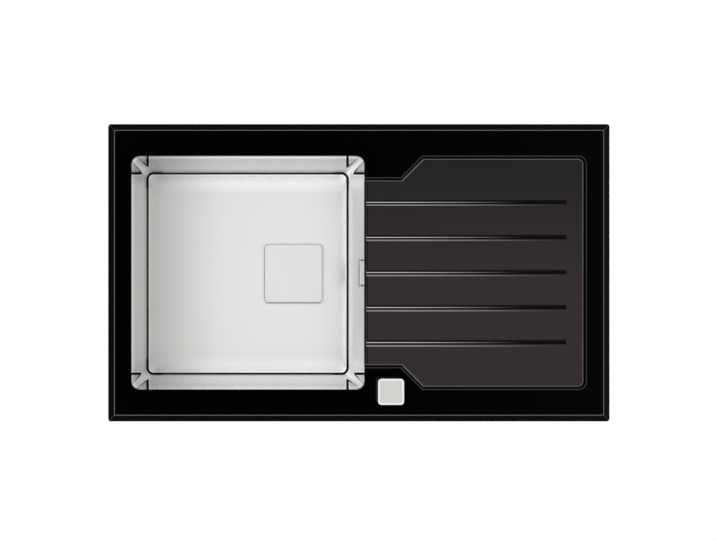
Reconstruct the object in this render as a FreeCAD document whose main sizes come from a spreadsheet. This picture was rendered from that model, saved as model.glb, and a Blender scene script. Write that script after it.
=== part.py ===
# Inset kitchen sink: a bevelled black glass top with a ground drainer, a square steel bowl bonded under it,
# a pop-up waste worked by a square knob through a Bowden cable, an overflow, and swing clips for the worktop.
# Frame: +X along the sink towards the drainer, +Y to the back, +Z up. The origin is the centre of the worktop
# cut-out, in the plane of the worktop's top surface. Millimetres.

import FreeCAD, Part
import math
import os

import Sketcher
from FreeCAD import Placement, Rotation, Vector

doc = FreeCAD.newDocument("inset_sink")
sub_parts = []

# Driving dimensions

driving_sizes = {
    # glass top
    "glass_length": 860,
    "glass_width": 510,
    "glass_thick": 8,
    "glass_corner": 5,
    "bevel_width": 11,
    "bevel_drop": 2.5,
    # worktop joint
    "worktop_lap": 10,
    "seal_thick": 1.5,
    "seal_width": 7,
    "seal_inset": 2,
    # bowl
    "opening_side_margin": 55,
    "glass_overhang": 1,
    "opening_corner": 14.5,
    "bowl_length": 401.4,
    "bowl_depth": 190,
    "bowl_corner": 12,
    "bowl_corner_low": 12,
    "bowl_draft": 7.4,
    "floor_fall": 0.8,
    "floor_round": 4,
    "sheet_thick": 1,
    "flange_width": 12,
    "rim_bend": 2.5,
    "bond_thick": 1.5,
    "bond_width": 7,
    # drainer ground into the glass
    "drainer_margin": 40.5,
    "drainer_side_margin": 55,
    "drainer_neck_inset": 37.2,
    "drainer_neck_length": 62,
    "drainer_corner": 14,
    "drainer_depth": 2,
    "drainer_slope": 5.5,
    "spill_run": 3,
    "spill_drop": 1,
    "groove_count": 5,
    "groove_pitch": 60,
    "groove_margin": 33.5,
    "groove_width": 10,
    "groove_bed": 3,
    "groove_depth": 2.2,
    "groove_end_width": 8,
    "groove_end_depth": 0.8,
    # worktop clips
    "rail_gap": 3,
    "rail_width": 12,
    "rail_height": 16,
    "rail_thick": 1.2,
    "rail_bond_thick": 1.5,
    "rail_bowl_gap": 2,
    "rail_knob_gap": 2.5,
    "clip_end_inset": 97,
    "clip_screw_radius": 2.5,
    "clip_hole_clearance": 0.1,
    "clip_head_radius": 5,
    "clip_head_height": 3.5,
    "clip_nut_radius": 4.6,
    "clip_nut_height": 4,
    "clip_depth": 46,
    "claw_reach": 30,
    "claw_tail": 8,
    "claw_width": 14,
    "claw_thick": 2.5,
    "claw_tooth": 8,
    # noise pads
    "pad_thick": 3,
    "pad_length": 220,
    "pad_height": 90,
    "pad_gap": 0.2,
    # waste
    "drain_offset": 88.3,
    "drain_recess_side": 118,
    "drain_recess_corner": 10,
    "drain_recess_depth": 3.5,
    "waste_hole_radius": 45,
    "top_seal_thick": 0.8,
    "cup_flange_radius": 54.5,
    "cup_flange_thick": 1.2,
    "cup_radius": 42.5,
    "cup_wall": 1,
    "cup_depth": 33,
    "seat_radius": 24,
    "gasket_thick": 4,
    "waste_flange_radius": 57,
    "waste_flange_thick": 4,
    "waste_wall": 4,
    "waste_clearance": 0.5,
    "ledge_thick": 3,
    "chamber_radius": 36,
    "chamber_depth": 24,
    "funnel_depth": 12,
    "outlet_radius": 23.9,
    "outlet_bore": 20,
    "outlet_length": 22,
    "waste_screw_circle": 34,
    "waste_screw_radius": 2.5,
    "waste_screw_count": 3,
    # strainer and cover
    "basket_radius": 40,
    "basket_floor_radius": 28,
    "basket_wall": 1,
    "basket_rim": 3,
    "basket_top": 2,
    "basket_hub_radius": 7,
    "basket_hole_radius": 2.2,
    "basket_hole_circle": 18,
    "basket_hole_count": 12,
    "plug_seal_thick": 3,
    "plug_seal_width": 6,
    "cover_side": 111.6,
    "cover_corner": 8,
    "cover_thick": 2.5,
    "cover_edge": 1.2,
    "cover_gap": 0.3,
    "cover_water_gap": 2.3,
    "cover_socket_wall": 2,
    "cover_socket_depth": 5,
    # lifting gear under the waste
    "plug_lift": 10,
    "lever_length": 28,
    "shaft_drop": 14,
    "shaft_radius": 3,
    "running_clearance": 0.05,
    "stem_radius": 3,
    "stem_tip": 2.4,
    "stem_gap": 0.9,
    "finger_height": 5,
    "finger_width": 8,
    "lever_hub_radius": 6,
    "boss_radius": 8,
    "boss_length": 22,
    "arm_length": 24,
    "arm_width": 6,
    "arm_thick": 4,
    "arm_stand_off": 10,
    "wire_radius": 0.75,
    "wire_gap": 0.8,
    "nipple_radius": 2.5,
    "ferrule_radius": 3.6,
    "ferrule_length": 14,
    "stop_distance": 36,
    "stop_thick": 2,
    # overflow
    "overflow_drop": 28,
    "overflow_hole_width": 47.2,
    "overflow_hole_height": 22,
    "overflow_plate_width": 50,
    "overflow_plate_height": 30,
    "overflow_plate_thick": 1.2,
    "overflow_plate_proud": 5.6,
    "overflow_lip_inset": 4.6,
    "overflow_gasket_thick": 3,
    "overflow_wall": 3,
    "overflow_box_depth": 32,
    "overflow_border": 10,
    "overflow_screw_radius": 2.5,
    "pipe_radius": 11,
    "pipe_wall": 1.5,
    "pipe_bend": 40,
    "pipe_socket_wall": 2.4,
    "pipe_socket_length": 20,
    "pipe_clearance": 0.3,
    "pipe_nut_radius": 18,
    "pipe_nut_length": 12,
    # control knob
    "knob_offset": 43.6,
    "knob_hole_radius": 17.5,
    "knob_side": 44.6,
    "knob_corner": 6,
    "knob_high": 10,
    "knob_edge": 3.8,
    "knob_edge_drop": 0.6,
    "knob_round": 1,
    "knob_gap": 0.3,
    "knob_gasket_thick": 1,
    "base_flange_radius": 20,
    "base_flange_thick": 1.5,
    "base_radius": 16.5,
    "base_length": 22,
    "knob_nut_radius": 25,
    "knob_nut_thick": 6,
    "knob_washer_thick": 1.5,
    "spindle_radius": 5,
    "spindle_end_radius": 3,
    "spindle_grip": 6,
    "drum_radius": 8,
    "drum_groove_radius": 5.5,
    "drum_height": 8,
    "housing_radius": 20,
    "housing_wall": 2,
    "housing_height": 16,
    "gland_radius": 5,
    "gland_length": 14,
    # Bowden cable
    "sheath_radius": 2.5,
    "sheath_clearance": 0.1,
    "sheath_seat": 8,
    "cable_rise": 58,
    "cable_level_run": 46,
    "saddle_size": 12,
    "saddle_clearance": 0.3,
}

sizes = doc.addObject("Spreadsheet::Sheet", "sizes")
for row, (alias, value) in enumerate(driving_sizes.items(), start=1):
    sizes.set(f"A{row}", alias)
    sizes.set(f"B{row}", str(value))
    sizes.setAlias(f"B{row}", alias)

# Places worked out from the driving dimensions

worked_out = {
    "cutout_length": "sizes.glass_length - 2 * sizes.worktop_lap",
    "cutout_width": "sizes.glass_width - 2 * sizes.worktop_lap",
    "rail_x": "cutout_length / 2 - sizes.rail_gap",
    "rail_y": "cutout_width / 2 - sizes.rail_gap",
    "opening_length": "sizes.bowl_length - 2 * sizes.glass_overhang",
    "opening_width": "sizes.glass_width - 2 * sizes.opening_side_margin",
    "bowl_width": "opening_width + 2 * sizes.glass_overhang",
    "flange_end": "rail_x - sizes.rail_width - sizes.rail_bowl_gap",
    "bowl_x": "sizes.flange_width + sizes.bowl_length / 2 - flange_end",
    "opening_end": "bowl_x + opening_length / 2",
    "glass_top": "sizes.seal_thick + sizes.glass_thick",
    "flange_top": "sizes.seal_thick - sizes.bond_thick",
    "floor_length": "sizes.bowl_length - 2 * sizes.bowl_draft",
    "floor_width": "bowl_width - 2 * sizes.bowl_draft",
    "draft_angle": "atan(sizes.bowl_draft / sizes.bowl_depth)",
    "drain_x": "bowl_x + sizes.drain_offset",
    "drain_z": "flange_top - sizes.bowl_depth - sizes.floor_fall - sizes.drain_recess_depth",
    # drainer
    "drainer_length": "sizes.glass_length / 2 - sizes.drainer_margin - opening_end",
    "drainer_width": "sizes.glass_width - 2 * sizes.drainer_side_margin",
    "drainer_neck_width": "opening_width - 2 * sizes.drainer_neck_inset",
    "groove_length": "drainer_length - sizes.groove_margin",
    # rails and clips
    "rail_top": "sizes.seal_thick - sizes.rail_bond_thick",
    "rail_low": "rail_top - sizes.rail_height",
    "clip_pitch": "rail_x - sizes.clip_end_inset",
    "clip_x": "rail_x - sizes.rail_width / 2",
    "clip_y": "rail_y - sizes.rail_width / 2",
    # heights in the waste, from the floor of the drain recess
    "cup_top": "sizes.top_seal_thick + sizes.cup_flange_thick",
    "cup_low": "cup_top - sizes.cup_depth",
    "waste_top": "0 - sizes.sheet_thick - sizes.gasket_thick",
    "waste_bore": "sizes.cup_radius + sizes.waste_clearance",
    "ledge_low": "cup_low - sizes.ledge_thick",
    "chamber_low": "ledge_low - sizes.chamber_depth",
    "funnel_low": "chamber_low - sizes.funnel_depth",
    "outlet_low": "funnel_low - sizes.outlet_length",
    "shaft_z": "ledge_low - sizes.shaft_drop",
    "basket_low": "cup_low + sizes.cup_wall + sizes.plug_seal_thick",
    "hub_top": "sizes.drain_recess_depth + sizes.cover_water_gap",
    # lifting lever
    "lever_half": "asin(sizes.plug_lift / 2 / sizes.lever_length)",
    "finger_drop": "sizes.lever_length * tan(lever_half) - sizes.finger_height / 2 / cos(lever_half)",
    "finger_rest": "shaft_z - finger_drop",
    "stem_low": "finger_rest + sizes.stem_gap",
    "boss_end": "sizes.chamber_radius + sizes.boss_length / 2",
    "arm_y": "0 - boss_end - sizes.arm_stand_off",
    "arm_tip_x": "sizes.lever_length - sizes.arm_length * sin(lever_half)",
    "arm_tip_z": "shaft_z + sizes.arm_length * cos(lever_half)",
    "stop_x": "sizes.lever_length + sizes.stop_distance",
    # overflow
    "overflow_z": "flange_top - sizes.overflow_drop",
    "overflow_lean": "sizes.bowl_draft * sizes.overflow_drop / sizes.bowl_depth",
    "wall_inside": "bowl_x + sizes.bowl_length / 2 - overflow_lean",
    "box_height": "sizes.overflow_hole_height + 2 * sizes.overflow_wall",
    "gasket_height": "box_height + 2 * sizes.overflow_wall",
    "gasket_drop": "sizes.overflow_drop - gasket_height / 2",
    "wall_end": "opening_end + sizes.glass_overhang + sizes.sheet_thick",
    "wall_outside": "wall_end - sizes.bowl_draft * gasket_drop / sizes.bowl_depth + sizes.running_clearance",
    "gasket_out": "wall_outside + sizes.overflow_gasket_thick",
    "box_back": "gasket_out + sizes.overflow_box_depth",
    "box_width": "sizes.overflow_hole_width + 2 * sizes.overflow_wall",
    "pipe_x": "box_back - sizes.overflow_wall - sizes.pipe_radius",
    "pipe_low": "drain_z + shaft_z",
    "pipe_top": "overflow_z - box_height / 2",
    "socket_radius": "sizes.pipe_radius + sizes.pipe_clearance + sizes.pipe_socket_wall",
    "branch_end": "sizes.chamber_radius + sizes.waste_wall + sizes.pipe_socket_length",
    # knob
    "knob_x": "opening_end + sizes.knob_offset",
    "knob_y": "sizes.rail_width + sizes.rail_knob_gap + sizes.knob_nut_radius - rail_y",
    "base_top": "sizes.knob_gasket_thick + sizes.base_flange_thick",
    "base_low": "0 - sizes.glass_thick - sizes.base_length",
    "knob_low": "base_top + sizes.knob_gap",
    "housing_low": "base_low - sizes.housing_wall - sizes.housing_height",
    "drum_z": "base_low - sizes.housing_wall - sizes.housing_height / 2",
}

places = doc.addObject("Spreadsheet::Sheet", "places")
for row, (alias, formula) in enumerate(worked_out.items(), start=1):
    places.set(f"A{row}", alias)
    places.set(f"B{row}", "=" + formula)
    places.setAlias(f"B{row}", alias)
doc.recompute()


def number(expression):
    """The value of an expression on the two sheets, in millimetres or degrees."""
    value = sizes.evalExpression(expression)
    return float(getattr(value, "Value", value))


# Sketch and feature helpers


def new_body(label, x="0", y="0", z="0"):
    body = doc.addObject("PartDesign::Body", label)
    body.Label = label
    set_place(body, x, y, z)
    sub_parts.append(body)
    return body


def set_place(piece, x="0", y="0", z="0"):
    for axis, expression in zip("xyz", (x, y, z)):
        piece.setExpression(f"Placement.Base.{axis}", expression)


def origin_feature(body, role):
    return next(item for item in body.Origin.OriginFeatures if item.Role == role)


def new_sketch(body, plane="XY_Plane", offset="0"):
    sketch = body.newObject("Sketcher::SketchObject", body.Label + "_sketch")
    sketch.AttachmentSupport = [(origin_feature(body, plane), "")]
    sketch.MapMode = "FlatFace"
    sketch.setExpression("AttachmentOffset.Base.z", offset)
    return sketch


def constrain(sketch, expression, *constraint):
    """Adds one dimensional constraint and binds it to its expression."""
    index = sketch.addConstraint(Sketcher.Constraint(*constraint, number(expression)))
    sketch.setExpression(f"Constraints[{index}]", expression)


def draw_circle(sketch, x, y, radius):
    centre = Vector(number(x), number(y), 0)
    circle = sketch.addGeometry(Part.Circle(centre, Vector(0, 0, 1), number(radius)), False)
    constrain(sketch, x, "DistanceX", circle, 3)
    constrain(sketch, y, "DistanceY", circle, 3)
    constrain(sketch, radius, "Radius", circle)


def corner_arc(before, corner, after, radius):
    """Tangent points and arc of a rounded corner, and whether the arc runs from first to second."""
    towards = (before - corner).normalize()
    away = (after - corner).normalize()
    half = towards.getAngle(away) / 2
    first = corner + towards * (radius / math.tan(half))
    second = corner + away * (radius / math.tan(half))
    centre = corner + (towards + away).normalize() * (radius / math.sin(half))
    forward = (corner - before).cross(after - corner).z > 0
    ends = [first - centre, second - centre] if forward else [second - centre, first - centre]
    angles = [math.atan2(end.y, end.x) for end in ends]
    circle = Part.Circle(centre, Vector(0, 0, 1), radius)
    return first, second, Part.ArcOfCircle(circle, angles[0], angles[1]), forward


def draw_outline(sketch, corners):
    """A closed outline through corners (x, y), or (x, y, radius) where the corner is rounded."""
    count = len(corners)
    points = [Vector(number(corner[0]), number(corner[1]), 0) for corner in corners]
    starts, ends, arcs = list(points), list(points), {}
    for i, corner in enumerate(corners):
        if len(corner) == 3:
            before, after = points[i - 1], points[(i + 1) % count]
            ends[i], starts[i], arc, forward = corner_arc(before, points[i], after, number(corner[2]))
            arcs[i] = (sketch.addGeometry(arc, False), forward)
    lines = [
        sketch.addGeometry(Part.LineSegment(starts[i], ends[(i + 1) % count]), False) for i in range(count)
    ]
    for i, corner in enumerate(corners):
        line_in, line_out = lines[i - 1], lines[i]
        if i in arcs:
            arc, forward = arcs[i]
            first, second = (1, 2) if forward else (2, 1)
            sketch.addConstraint(Sketcher.Constraint("Tangent", line_in, 2, arc, first))
            sketch.addConstraint(Sketcher.Constraint("Tangent", arc, second, line_out, 1))
            constrain(sketch, corner[2], "Radius", arc)
            tip = sketch.addGeometry(Part.Point(points[i]), True)
            sketch.addConstraint(Sketcher.Constraint("PointOnObject", tip, 1, line_in))
            sketch.addConstraint(Sketcher.Constraint("PointOnObject", tip, 1, line_out))
            constrain(sketch, corner[0], "DistanceX", tip, 1)
            constrain(sketch, corner[1], "DistanceY", tip, 1)
        else:
            sketch.addConstraint(Sketcher.Constraint("Coincident", line_in, 2, line_out, 1))
            constrain(sketch, corner[0], "DistanceX", line_out, 1)
            constrain(sketch, corner[1], "DistanceY", line_out, 1)


def box_corners(length, width, radius=None, x="0", y="0"):
    """Corners of a rectangle, or of a rounded one, about a centre."""
    signs = [("-", "-"), ("+", "-"), ("+", "+"), ("-", "+")]
    rounding = () if radius is None else (radius,)
    return [(f"{x} {a} ({length}) / 2", f"{y} {b} ({width}) / 2", *rounding) for a, b in signs]


def draw_shapes(sketch, shapes):
    """Draws each shape: a list of corners is an outline, and a tuple (x, y, radius) a circle."""
    for shape in shapes:
        if isinstance(shape, tuple):
            draw_circle(sketch, *shape)
        else:
            draw_outline(sketch, shape)


def feature_on(body, kind, shapes, plane, offset):
    sketch = new_sketch(body, plane, offset)
    draw_shapes(sketch, shapes)
    feature = body.newObject(kind, body.Label + "_" + kind.split("::")[1].lower())
    feature.Profile = sketch
    return feature


def add_prism(body, shapes, low, high, plane="XY_Plane"):
    """Pads shapes from one height to another along the plane's normal."""
    pad = feature_on(body, "PartDesign::Pad", shapes, plane, low)
    pad.setExpression("Length", f"({high}) - ({low})")
    return pad


def cut_prism(body, shapes, low, high, plane="XY_Plane"):
    """Pockets shapes from one height to another along the plane's normal."""
    pocket = feature_on(body, "PartDesign::Pocket", shapes, plane, low)
    pocket.Reversed = True
    pocket.setExpression("Length", f"({high}) - ({low})")
    return pocket


def add_turned(body, corners):
    """Revolves a profile of (radius, height) corners about the body's own Z axis."""
    turned = feature_on(body, "PartDesign::Revolution", [corners], "XZ_Plane", "0")
    turned.ReferenceAxis = (turned.Profile[0], ["V_Axis"])
    turned.Angle = 360
    return turned


def add_ring(body, inner, outer, low, high):
    return add_prism(body, [("0", "0", outer), ("0", "0", inner)], low, high)


def add_loft(body, kind, sections, plane="XY_Plane"):
    """Lofts through (shape, offset) sections; kind is AdditiveLoft or SubtractiveLoft."""
    sketches = []
    for shape, offset in sections:
        sketch = new_sketch(body, plane, offset)
        draw_shapes(sketch, [shape])
        sketches.append(sketch)
    loft = body.newObject("PartDesign::" + kind, body.Label + "_loft")
    loft.Profile = sketches[0]
    loft.Sections = sketches[1:]
    loft.Ruled = True
    return loft


def pattern_around(body, feature, count):
    """Repeats a feature evenly about the body's own Z axis."""
    pattern = body.newObject("PartDesign::PolarPattern", body.Label + "_pattern")
    pattern.Originals = [feature]
    pattern.Axis = (origin_feature(body, "Z_Axis"), [""])
    pattern.Angle = 360
    pattern.setExpression("Occurrences", count)
    body.Tip = pattern
    return pattern


def round_edges(body, radius, chosen):
    """Fillets the edges of the body that a test picks."""
    doc.recompute()
    base = body.Tip
    names = [f"Edge{i}" for i, edge in enumerate(base.Shape.Edges, start=1) if chosen(edge)]
    fillet = body.newObject("PartDesign::Fillet", body.Label + "_fillet")
    fillet.Base = (base, names)
    fillet.setExpression("Radius", radius)
    return fillet


def is_upright(edge):
    tangent = edge.tangentAt(edge.FirstParameter)
    return abs(tangent.z) > 0.999 and edge.Curve.TypeId == "Part::GeomLine"


def lies_at(height):
    """A test for edges that lie wholly at a height."""
    level = number(height)
    return lambda edge: max(abs(edge.BoundBox.ZMin - level), abs(edge.BoundBox.ZMax - level)) < 0.001


def reaches_out(edge, half_length, half_width):
    """Whether an edge stays outside a centred rectangle."""
    box = edge.BoundBox
    middle = Vector((box.XMin + box.XMax) / 2, (box.YMin + box.YMax) / 2, 0)
    return abs(middle.x) > half_length or abs(middle.y) > half_width


def group(label, pieces):
    """One node of several separate solids."""
    compound = doc.addObject("Part::Compound", label)
    compound.Label = label
    compound.Links = pieces
    sub_parts.append(compound)
    return compound


# Glass top


def make_glass_top():
    body = new_body("glass_top", z="sizes.seal_thick")
    add_prism(body, [box_corners("sizes.glass_length", "sizes.glass_width")], "0", "sizes.glass_thick")
    cut_bevels(body)
    round_edges(body, "sizes.glass_corner", lambda edge: is_upright(edge) and edge.BoundBox.ZMin < 0.001)
    opening = box_corners(
        "places.opening_length", "places.opening_width", "sizes.opening_corner", x="places.bowl_x"
    )
    knob_hole = ("places.knob_x", "places.knob_y", "sizes.knob_hole_radius")
    cut_prism(body, [opening, knob_hole], "0", "sizes.glass_thick")
    cut_drainer(body)
    cut_grooves(body)


def cut_bevels(body):
    """Grinds the long outer bevels, which meet in mitres at the corners."""
    low = "sizes.glass_thick - sizes.bevel_drop"
    for plane, span in (("XZ_Plane", "sizes.glass_length"), ("YZ_Plane", "sizes.glass_width")):
        triangles = [
            [
                (f"{sign} {span} / 2", "sizes.glass_thick"),
                (f"{sign} ({span} / 2 - sizes.bevel_width)", "sizes.glass_thick"),
                (f"{sign} {span} / 2", low),
            ]
            for sign in ("-", "1 *")
        ]
        bevel = feature_on(body, "PartDesign::Pocket", triangles, plane, "0")
        bevel.Type = "ThroughAll"
        bevel.Midplane = True


def drainer_corners(inset):
    """The drainer's outline, drawn in by an inset; its open end runs into the bowl opening."""
    start = "places.opening_end - sizes.flange_width"
    end = f"places.opening_end + places.drainer_length - {inset}"
    neck = f"places.drainer_neck_width / 2 - {inset}"
    half = f"places.drainer_width / 2 - {inset}"
    slant = f"{inset} * tan(22.5)"
    neck_end = f"places.opening_end + sizes.drainer_neck_length + {slant}"
    wide_start = f"{neck_end} + (places.drainer_width - places.drainer_neck_width) / 2"
    corner = f"sizes.drainer_corner - {inset}"
    return [
        (start, f"-({neck})"),
        (neck_end, f"-({neck})"),
        (wide_start, f"-({half})"),
        (end, f"-({half})", corner),
        (end, half, corner),
        (wide_start, half),
        (neck_end, neck),
        (start, neck),
    ]


def cut_drainer(body):
    """Grinds the drainer's bed with sloping sides, and the eased edge where it spills into the bowl."""
    bed = "sizes.glass_thick - sizes.drainer_depth"
    sections = [(drainer_corners("0"), "sizes.glass_thick"), (drainer_corners("sizes.drainer_slope"), bed)]
    add_loft(body, "SubtractiveLoft", sections)
    spill = [
        ("places.opening_end", bed),
        ("places.opening_end + sizes.spill_run", bed),
        ("places.opening_end", f"{bed} - sizes.spill_drop"),
    ]
    width = "(places.drainer_neck_width / 2 - sizes.drainer_slope)"
    cut_prism(body, [spill], f"-{width}", width, plane="XZ_Plane")


def groove_corners(width, depth):
    y = "(0 - sizes.groove_pitch * (sizes.groove_count - 1) / 2)"
    top = "sizes.glass_thick - sizes.drainer_depth"
    low = f"{top} - {depth}"
    return [
        (f"{y} - {width} / 2", top),
        (f"{y} - sizes.groove_bed / 2", low),
        (f"{y} + sizes.groove_bed / 2", low),
        (f"{y} + {width} / 2", top),
    ]


def cut_grooves(body):
    """Grinds the grooves, which widen and deepen towards the bowl."""
    near = groove_corners("sizes.groove_width", "sizes.groove_depth")
    far = groove_corners("sizes.groove_end_width", "sizes.groove_end_depth")
    sections = [(near, "places.opening_end"), (far, "places.opening_end + places.groove_length")]
    groove = add_loft(body, "SubtractiveLoft", sections, plane="YZ_Plane")
    grooves = body.newObject("PartDesign::LinearPattern", "glass_top_grooves")
    grooves.Originals = [groove]
    grooves.Direction = (origin_feature(body, "Y_Axis"), [""])
    grooves.Mode = "Spacing"
    grooves.setExpression("Offset", "sizes.groove_pitch")
    grooves.setExpression("Occurrences", "sizes.groove_count")
    body.Tip = grooves


# Bowl


def bowl_section(length, width, corner, grow, x="0"):
    return box_corners(f"{length} + 2 * {grow}", f"{width} + 2 * {grow}", f"{corner} + {grow}", x=x)


def shape_bowl(body, kind, grow):
    """Walls, falling floor and drain recess of the bowl, larger by grow on every side."""
    edge = f"0 - sizes.bowl_depth - {grow}"
    fall = f"{edge} - sizes.floor_fall"
    rim = bowl_section("sizes.bowl_length", "places.bowl_width", "sizes.bowl_corner", grow)
    foot = bowl_section("places.floor_length", "places.floor_width", "sizes.bowl_corner_low", grow)
    side = "sizes.drain_recess_side"
    recess = bowl_section(side, side, "sizes.drain_recess_corner", grow, x="sizes.drain_offset")
    add_loft(body, kind, [(rim, "0"), (foot, edge)])
    add_loft(body, kind, [(foot, edge), (recess, fall)])
    prism = add_prism if kind == "AdditiveLoft" else cut_prism
    prism(body, [recess], f"{fall} - sizes.drain_recess_depth", fall)


def make_bowl():
    body = new_body("bowl", x="places.bowl_x", z="places.flange_top")
    half_length = number("places.floor_length") / 2 - number("sizes.bowl_corner_low")
    half_width = number("places.floor_width") / 2 - number("sizes.bowl_corner_low")

    def round_foot(height, radius):
        at_height = lies_at(height)
        round_edges(
            body, radius, lambda edge: at_height(edge) and reaches_out(edge, half_length, half_width)
        )

    shape_bowl(body, "AdditiveLoft", "sizes.sheet_thick")
    flange = bowl_section("sizes.bowl_length", "places.bowl_width", "sizes.bowl_corner", "sizes.flange_width")
    add_prism(body, [flange], "0 - sizes.sheet_thick", "0")
    shape_bowl(body, "SubtractiveLoft", "0")
    round_foot("0 - sizes.bowl_depth", "sizes.floor_round")
    round_foot("0 - sizes.bowl_depth - sizes.sheet_thick", "sizes.floor_round + sizes.sheet_thick")
    bend_rim(body)
    drain_floor = "0 - sizes.bowl_depth - sizes.floor_fall - sizes.drain_recess_depth"
    hole = ("sizes.drain_offset", "0", "sizes.waste_hole_radius")
    cut_prism(body, [hole], f"{drain_floor} - 2 * sizes.sheet_thick", drain_floor)
    slot = box_corners("sizes.overflow_hole_width", "sizes.overflow_hole_height", y="0 - sizes.overflow_drop")
    inside = "sizes.bowl_length / 2 - 2 * sizes.bowl_draft"
    cut_prism(body, [slot], inside, f"{inside} + 4 * sizes.bowl_draft", plane="YZ_Plane")


def bend_rim(body):
    """Bends the flange out of the wall: the outer corner is filled and the inner edge rounded."""
    half_length = number("sizes.bowl_length") / 2
    half_width = number("places.bowl_width") / 2
    under = number("sizes.sheet_thick")

    def near_wall(edge, height, distance):
        box = edge.BoundBox
        level = abs(box.ZMin - height) < 0.01 and abs(box.ZMax - height) < 0.01
        past_end = max(abs(box.XMin), abs(box.XMax)) - half_length
        past_side = max(abs(box.YMin), abs(box.YMax)) - half_width
        return level and max(past_end, past_side) < distance

    round_edges(body, "sizes.rim_bend - sizes.sheet_thick", lambda edge: near_wall(edge, -under, 2 * under))
    round_edges(body, "sizes.rim_bend", lambda edge: near_wall(edge, 0, under / 2))


def make_bowl_bond():
    """The bead of adhesive between the bowl's flange and the glass."""
    body = new_body("bowl_bond", x="places.bowl_x", z="places.flange_top")
    outer = bowl_section("sizes.bowl_length", "places.bowl_width", "sizes.bowl_corner", "sizes.flange_width")
    inset = "sizes.flange_width - sizes.bond_width"
    inner = bowl_section("sizes.bowl_length", "places.bowl_width", "sizes.bowl_corner", f"({inset})")
    add_prism(body, [outer, inner], "0", "sizes.bond_thick")


def make_worktop_seal():
    """The foam strip that the glass rests on around the worktop cut-out."""
    body = new_body("worktop_seal")
    length, width = "sizes.glass_length - 2 * sizes.seal_inset", "sizes.glass_width - 2 * sizes.seal_inset"
    outer = box_corners(length, width)
    inner = box_corners(f"{length} - 2 * sizes.seal_width", f"{width} - 2 * sizes.seal_width")
    add_prism(body, [outer, inner], "0", "sizes.seal_thick")


def make_noise_pads():
    """Damping pads stuck to the bowl's floor and to three of its walls."""
    floor = doc.addObject("Part::Box", "noise_pad_floor")
    floor.Label = "noise_pad_floor"
    floor.setExpression("Length", "sizes.bowl_length / 2 - sizes.drain_recess_side / 2")
    floor.setExpression("Width", "sizes.pad_length")
    floor.setExpression("Height", "sizes.pad_thick")
    low = "places.flange_top - sizes.bowl_depth - sizes.sheet_thick - sizes.floor_fall"
    left = "places.bowl_x - places.floor_length / 2 + 2 * sizes.floor_round"
    set_place(floor, left, "0 - sizes.pad_length / 2", f"{low} - sizes.pad_thick - sizes.pad_gap")
    sub_parts.append(floor)
    long_wall = ("places.bowl_width", "YZ_Plane", "places.bowl_x")
    end_wall = ("sizes.bowl_length", "XZ_Plane", "0")
    pads = [
        make_wall_pad("front", "0 -", *long_wall),
        make_wall_pad("rear", "0 +", *long_wall),
        make_wall_pad("left", "0 -", *end_wall),
    ]
    group("noise_pads_walls", pads)


def make_wall_pad(name, side, span, plane, middle):
    """One pad that leans with the wall it is stuck to."""
    body = doc.addObject("PartDesign::Body", "noise_pad_" + name)
    centre = "places.bowl_x" if plane == "XZ_Plane" else "0"
    face = f"{span} / 2 + sizes.sheet_thick + sizes.pad_gap"
    profile = []
    for half, out in (("-", "0"), ("-", "sizes.pad_thick"), ("+", "sizes.pad_thick"), ("+", "0")):
        depth = f"(sizes.bowl_depth / 2 {half} sizes.pad_height / 2)"
        lean = f"sizes.bowl_draft * {depth} / sizes.bowl_depth"
        profile.append((f"{centre} {side[2:]} ({face} + {out} - {lean})", f"0 - {depth}"))
    half_length = "sizes.pad_length / 2"
    low = f"0 - {half_length}" if plane == "XZ_Plane" else f"{middle} - {half_length}"
    add_prism(body, [profile], low, f"({low}) + sizes.pad_length", plane)
    set_place(body, z="places.flange_top")
    return body


# Rails and clips

clip_places = [
    # rail, number on the rail, x, y, turn of the claw at rest
    ("front", 1, "-places.clip_pitch", "-places.clip_y", 0),
    ("front", 2, "0", "-places.clip_y", 0),
    ("front", 3, "1 * places.clip_pitch", "-places.clip_y", 0),
    ("rear", 1, "-places.clip_pitch", "1 * places.clip_y", 0),
    ("rear", 2, "0", "1 * places.clip_y", 0),
    ("rear", 3, "1 * places.clip_pitch", "1 * places.clip_y", 0),
    ("left", 1, "-places.clip_x", "0", 90),
    ("right", 1, "1 * places.clip_x", "0", 90),
]


def channel_corners(face, sign):
    """A C section: its web stands at the outer face, and its legs point in, by sign."""
    inner = f"{face} {sign} sizes.rail_width"
    web = f"{face} {sign} sizes.rail_thick"
    top, low = "places.rail_top", "places.rail_low"
    return [
        (face, top),
        (inner, top),
        (inner, f"{top} - sizes.rail_thick"),
        (web, f"{top} - sizes.rail_thick"),
        (web, f"{low} + sizes.rail_thick"),
        (inner, f"{low} + sizes.rail_thick"),
        (inner, low),
        (face, low),
    ]


def make_rails():
    """Four steel channels bonded under the glass, which carry the clips."""
    long_half = "places.rail_x"
    short_half = "(places.rail_y - sizes.rail_width - sizes.rail_gap)"
    rails = [
        ("front", "YZ_Plane", "-places.rail_y", "+", long_half),
        ("rear", "YZ_Plane", "1 * places.rail_y", "-", long_half),
        ("left", "XZ_Plane", "-places.rail_x", "+", short_half),
        ("right", "XZ_Plane", "1 * places.rail_x", "-", short_half),
    ]
    for name, plane, face, sign, half in rails:
        body = new_body(name + "_rail")
        add_prism(body, [channel_corners(face, sign)], f"-{half}", half, plane)
        radius = "sizes.clip_screw_radius + sizes.clip_hole_clearance"
        holes = [(x, y, radius) for rail, _, x, y, _ in clip_places if rail == name]
        low = "places.rail_low - sizes.rail_thick"
        cut_prism(body, holes, low, "places.rail_low + 2 * sizes.rail_thick")
    make_rail_bonds(long_half, short_half)


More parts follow.
